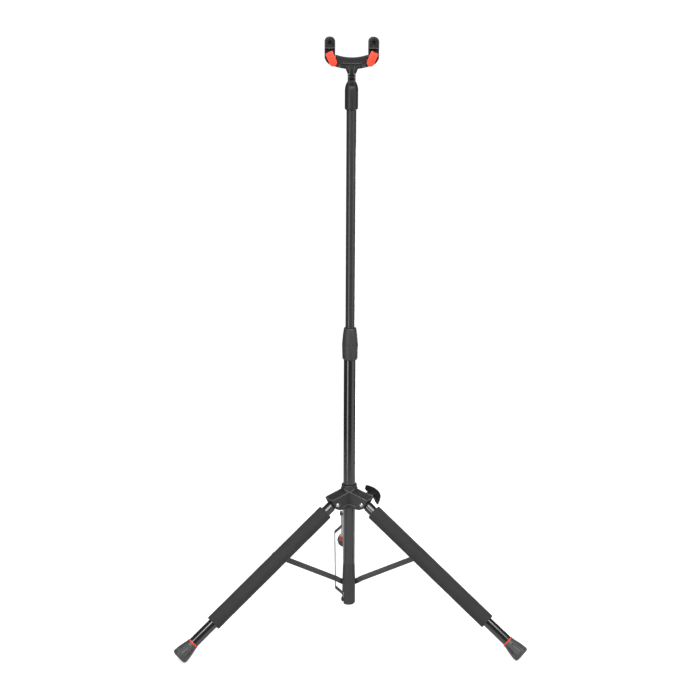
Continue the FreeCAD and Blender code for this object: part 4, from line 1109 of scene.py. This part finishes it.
    def _foam(self) -> None:
        """Make the padded sleeve: a soft tube with slight hollows from handling."""
        outline = rounded([(self.foam_bore, self.foam_start), (self.foam_radius, self.foam_start),
                           (self.foam_radius, self.foam_end), (self.foam_bore, self.foam_end)],
                          {1: self.foam_edge, 2: self.foam_edge}, 6, closed=True)
        fine = split_spans(outline, lambda a, b: round(abs(b[1] - a[1]) / self.foam_step), closed=True)
        mesh = lathe(fine, 96, closed=True)
        for vert in mesh.verts:
            radius = math.hypot(vert.co.x, vert.co.y)
            if radius < self.foam_skin_from:
                continue
            wave = self._ripple(math.atan2(vert.co.y, vert.co.x), vert.co.z)
            factor = 1 + wave * self.hollow / radius
            vert.co.x *= factor
            vert.co.y *= factor
        piece = finish_piece(mesh, f"foam_sleeve_{self.name}_soft", FOAM_SKIN, self.body, self.place(),
                             [f"foam_sleeve_{self.name}"], 60.0)


@dataclass
class Strut:
    """One flat brace with its cap."""

    name: str

    def build(self) -> None:
        """Dress the brace and its rivet."""
        moulding("strut_" + self.name, SATIN_BAR, "strut_" + self.name, 0.35, 2)
        moulding("strut_rivet_" + self.name, BLACK_OXIDE, "strut_" + self.name, 1.2, 4)


@dataclass(frozen=True)
class Lamp:
    """One soft rectangular lamp, in metres and watts."""

    name: str
    at: Spot
    target: Spot
    width: float
    height: float
    power: float

    def hang(self) -> None:
        """Add the lamp to the scene, out of the camera's sight."""
        data = bpy.data.lights.new(self.name, "AREA")
        data.shape = "RECTANGLE"
        data.size = self.width
        data.size_y = self.height
        data.energy = self.power
        lamp = link_object(self.name, data)
        lamp.location = self.at
        lamp.rotation_euler = (Vector(self.target) - Vector(self.at)).to_track_quat("-Z", "Y").to_euler()
        lamp.visible_camera = False


LAMPS = (
    Lamp("left_softbox", (-1.65, -2.0, 1.5), (0.0, -0.1, 0.62), 1.1, 2.4, 6.0),
    Lamp("right_softbox", (2.3, -1.4, 1.5), (0.0, -0.1, 0.62), 1.0, 2.2, 7.0),
    Lamp("overhead", (0.0, -0.4, 3.1), (0.0, -0.1, 0.6), 2.2, 2.0, 8.0),
    Lamp("front_softbox", (0.0, -1.5, 2.15), (0.0, -0.25, 0.2), 3.2, 1.1, 70.0),
    Lamp("left_strip", (-1.5, -1.8, 0.05), (0.0, -0.1, 0.05), 0.85, 1.7, 15.0),
    Lamp("right_strip", (1.75, -1.0, 0.05), (0.0, -0.1, 0.05), 2.1, 1.7, 9.0),
    Lamp("rear_strip", (0.7, 2.0, 0.05), (0.0, -0.1, 0.25), 1.8, 1.4, 50.0),
)


@dataclass
class Studio:
    """Floor, light and the photograph's camera, whose distances are in millimetres."""

    lens: float = 77.142857
    sensor: float = 36.0
    distance: float = 3087.2
    pitch: float = 15.548
    roll: float = 0.33
    yaw: float = 1.524
    target_x: float = -0.1
    target_z: float = 604.35
    sight: float = 100.0
    floor_half: float = 2.4
    floor_drop: float = 0.0005
    floor_tone: float = 0.7
    floor_glow: float = 0.75
    fade_start: float = 0.5
    fade_end: float = 1.5
    surround: float = 0.07
    backdrop: float = 1.05

    def build(self) -> None:
        """Make the floor, the world, the lamps and the camera."""
        self._floor()
        self._world()
        for lamp in LAMPS:
            lamp.hang()
        self._camera()

    def _floor(self) -> None:
        """Lay a plain pale floor under the feet, which melts into the white surround."""
        mesh = bmesh.new()
        bmesh.ops.create_grid(mesh, x_segments=1, y_segments=1, size=self.floor_half)
        floor = loose_object(mesh, "studio_floor")
        floor.location.z = -self.floor_drop
        paint = bpy.data.materials.new("studio_floor_paint")
        paint.use_nodes = True
        nodes = paint.node_tree.nodes
        net = Wiring(paint.node_tree)
        seen = net.add("ShaderNodeLightPath").outputs["Is Camera Ray"]
        shader = nodes["Principled BSDF"]
        net.feed(shader, {"Base Color": (self.floor_tone, self.floor_tone, self.floor_tone, 1.0),
                          "Roughness": 0.9, "Specular IOR Level": 0.1, "Emission Color": WHITE,
                             "Emission Strength": net.sum("MULTIPLY", seen, self.floor_glow)})
        place = net.add("ShaderNodeTexCoord").outputs["Object"]
        reach = net.add("ShaderNodeVectorMath", {0: place}, operation="LENGTH")
        fade = net.add("ShaderNodeMapRange", {"From Min": self.fade_start, "From Max": self.fade_end,
                                              "Value": reach.outputs["Value"]},
                          interpolation_type="SMOOTHSTEP")
        clear = net.add("ShaderNodeBsdfTransparent")
        blend = net.add("ShaderNodeMixShader", {0: fade.outputs["Result"], 1: shader.outputs["BSDF"],
                                                2: clear.outputs["BSDF"]})
        net.feed(nodes["Material Output"], {"Surface": blend.outputs[0]})
        floor.data.materials.append(paint)

    def _world(self) -> None:
        """Set a surround that the camera sees white and the stand sees dim, as in a studio."""
        world = bpy.data.worlds.new("studio_surround")
        world.use_nodes = True
        nodes = world.node_tree.nodes
        net = Wiring(world.node_tree)
        net.feed(nodes["Background"], {"Color": WHITE, "Strength": self.backdrop})
        dim = net.add("ShaderNodeBackground", {"Color": WHITE, "Strength": self.surround})
        path = net.add("ShaderNodeLightPath")
        pick = net.add("ShaderNodeMixShader", {0: path.outputs["Is Camera Ray"], 1: dim.outputs[0],
                                               2: nodes["Background"].outputs[0]})
        net.feed(nodes["World Output"], {"Surface": pick.outputs[0]})
        bpy.context.scene.world = world
        bpy.context.scene.view_settings.view_transform = "Standard"

    def _camera(self) -> None:
        """Set up the camera that was fitted to the photograph."""
        pitch, yaw, roll = (math.radians(v) for v in (self.pitch, self.yaw, self.roll))
        back = Vector((-math.cos(pitch) * math.sin(yaw), -math.cos(pitch) * math.cos(yaw), math.sin(pitch)))
        target = stand_point(self.target_x, 0.0, self.target_z)
        right = Vector((0.0, 0.0, 1.0)).cross(back).normalized()
        up = back.cross(right)
        turned = right * math.cos(roll) + up * math.sin(roll)
        upright = back.cross(turned)
        data = bpy.data.cameras.new("photo_camera")
        data.lens = self.lens
        data.sensor_width = self.sensor
        data.clip_end = self.sight
        camera = link_object("photo_camera", data)
        basis = Matrix((turned, upright, back)).transposed().to_4x4()
        camera.matrix_world = Matrix.Translation(target + back * self.distance * MM) @ basis
        bpy.context.scene.camera = camera


def main() -> None:
    """Build the stand piece by piece."""
    logging.basicConfig(level=logging.INFO, format="%(name)s: %(message)s")
    builders: list[Callable[[], None]] = [MastTubes().build, Clutch().build, UpperMast().build, Yoke().build,
                                          Hub().build]
    builders += [Leg(name, azimuth).build for name, azimuth, _ in LEGS]
    builders += [Strut(name).build for name, _, _ in LEGS]
    for build in (*builders, Studio().build):
        build()


if __name__ == "__main__":
    main()
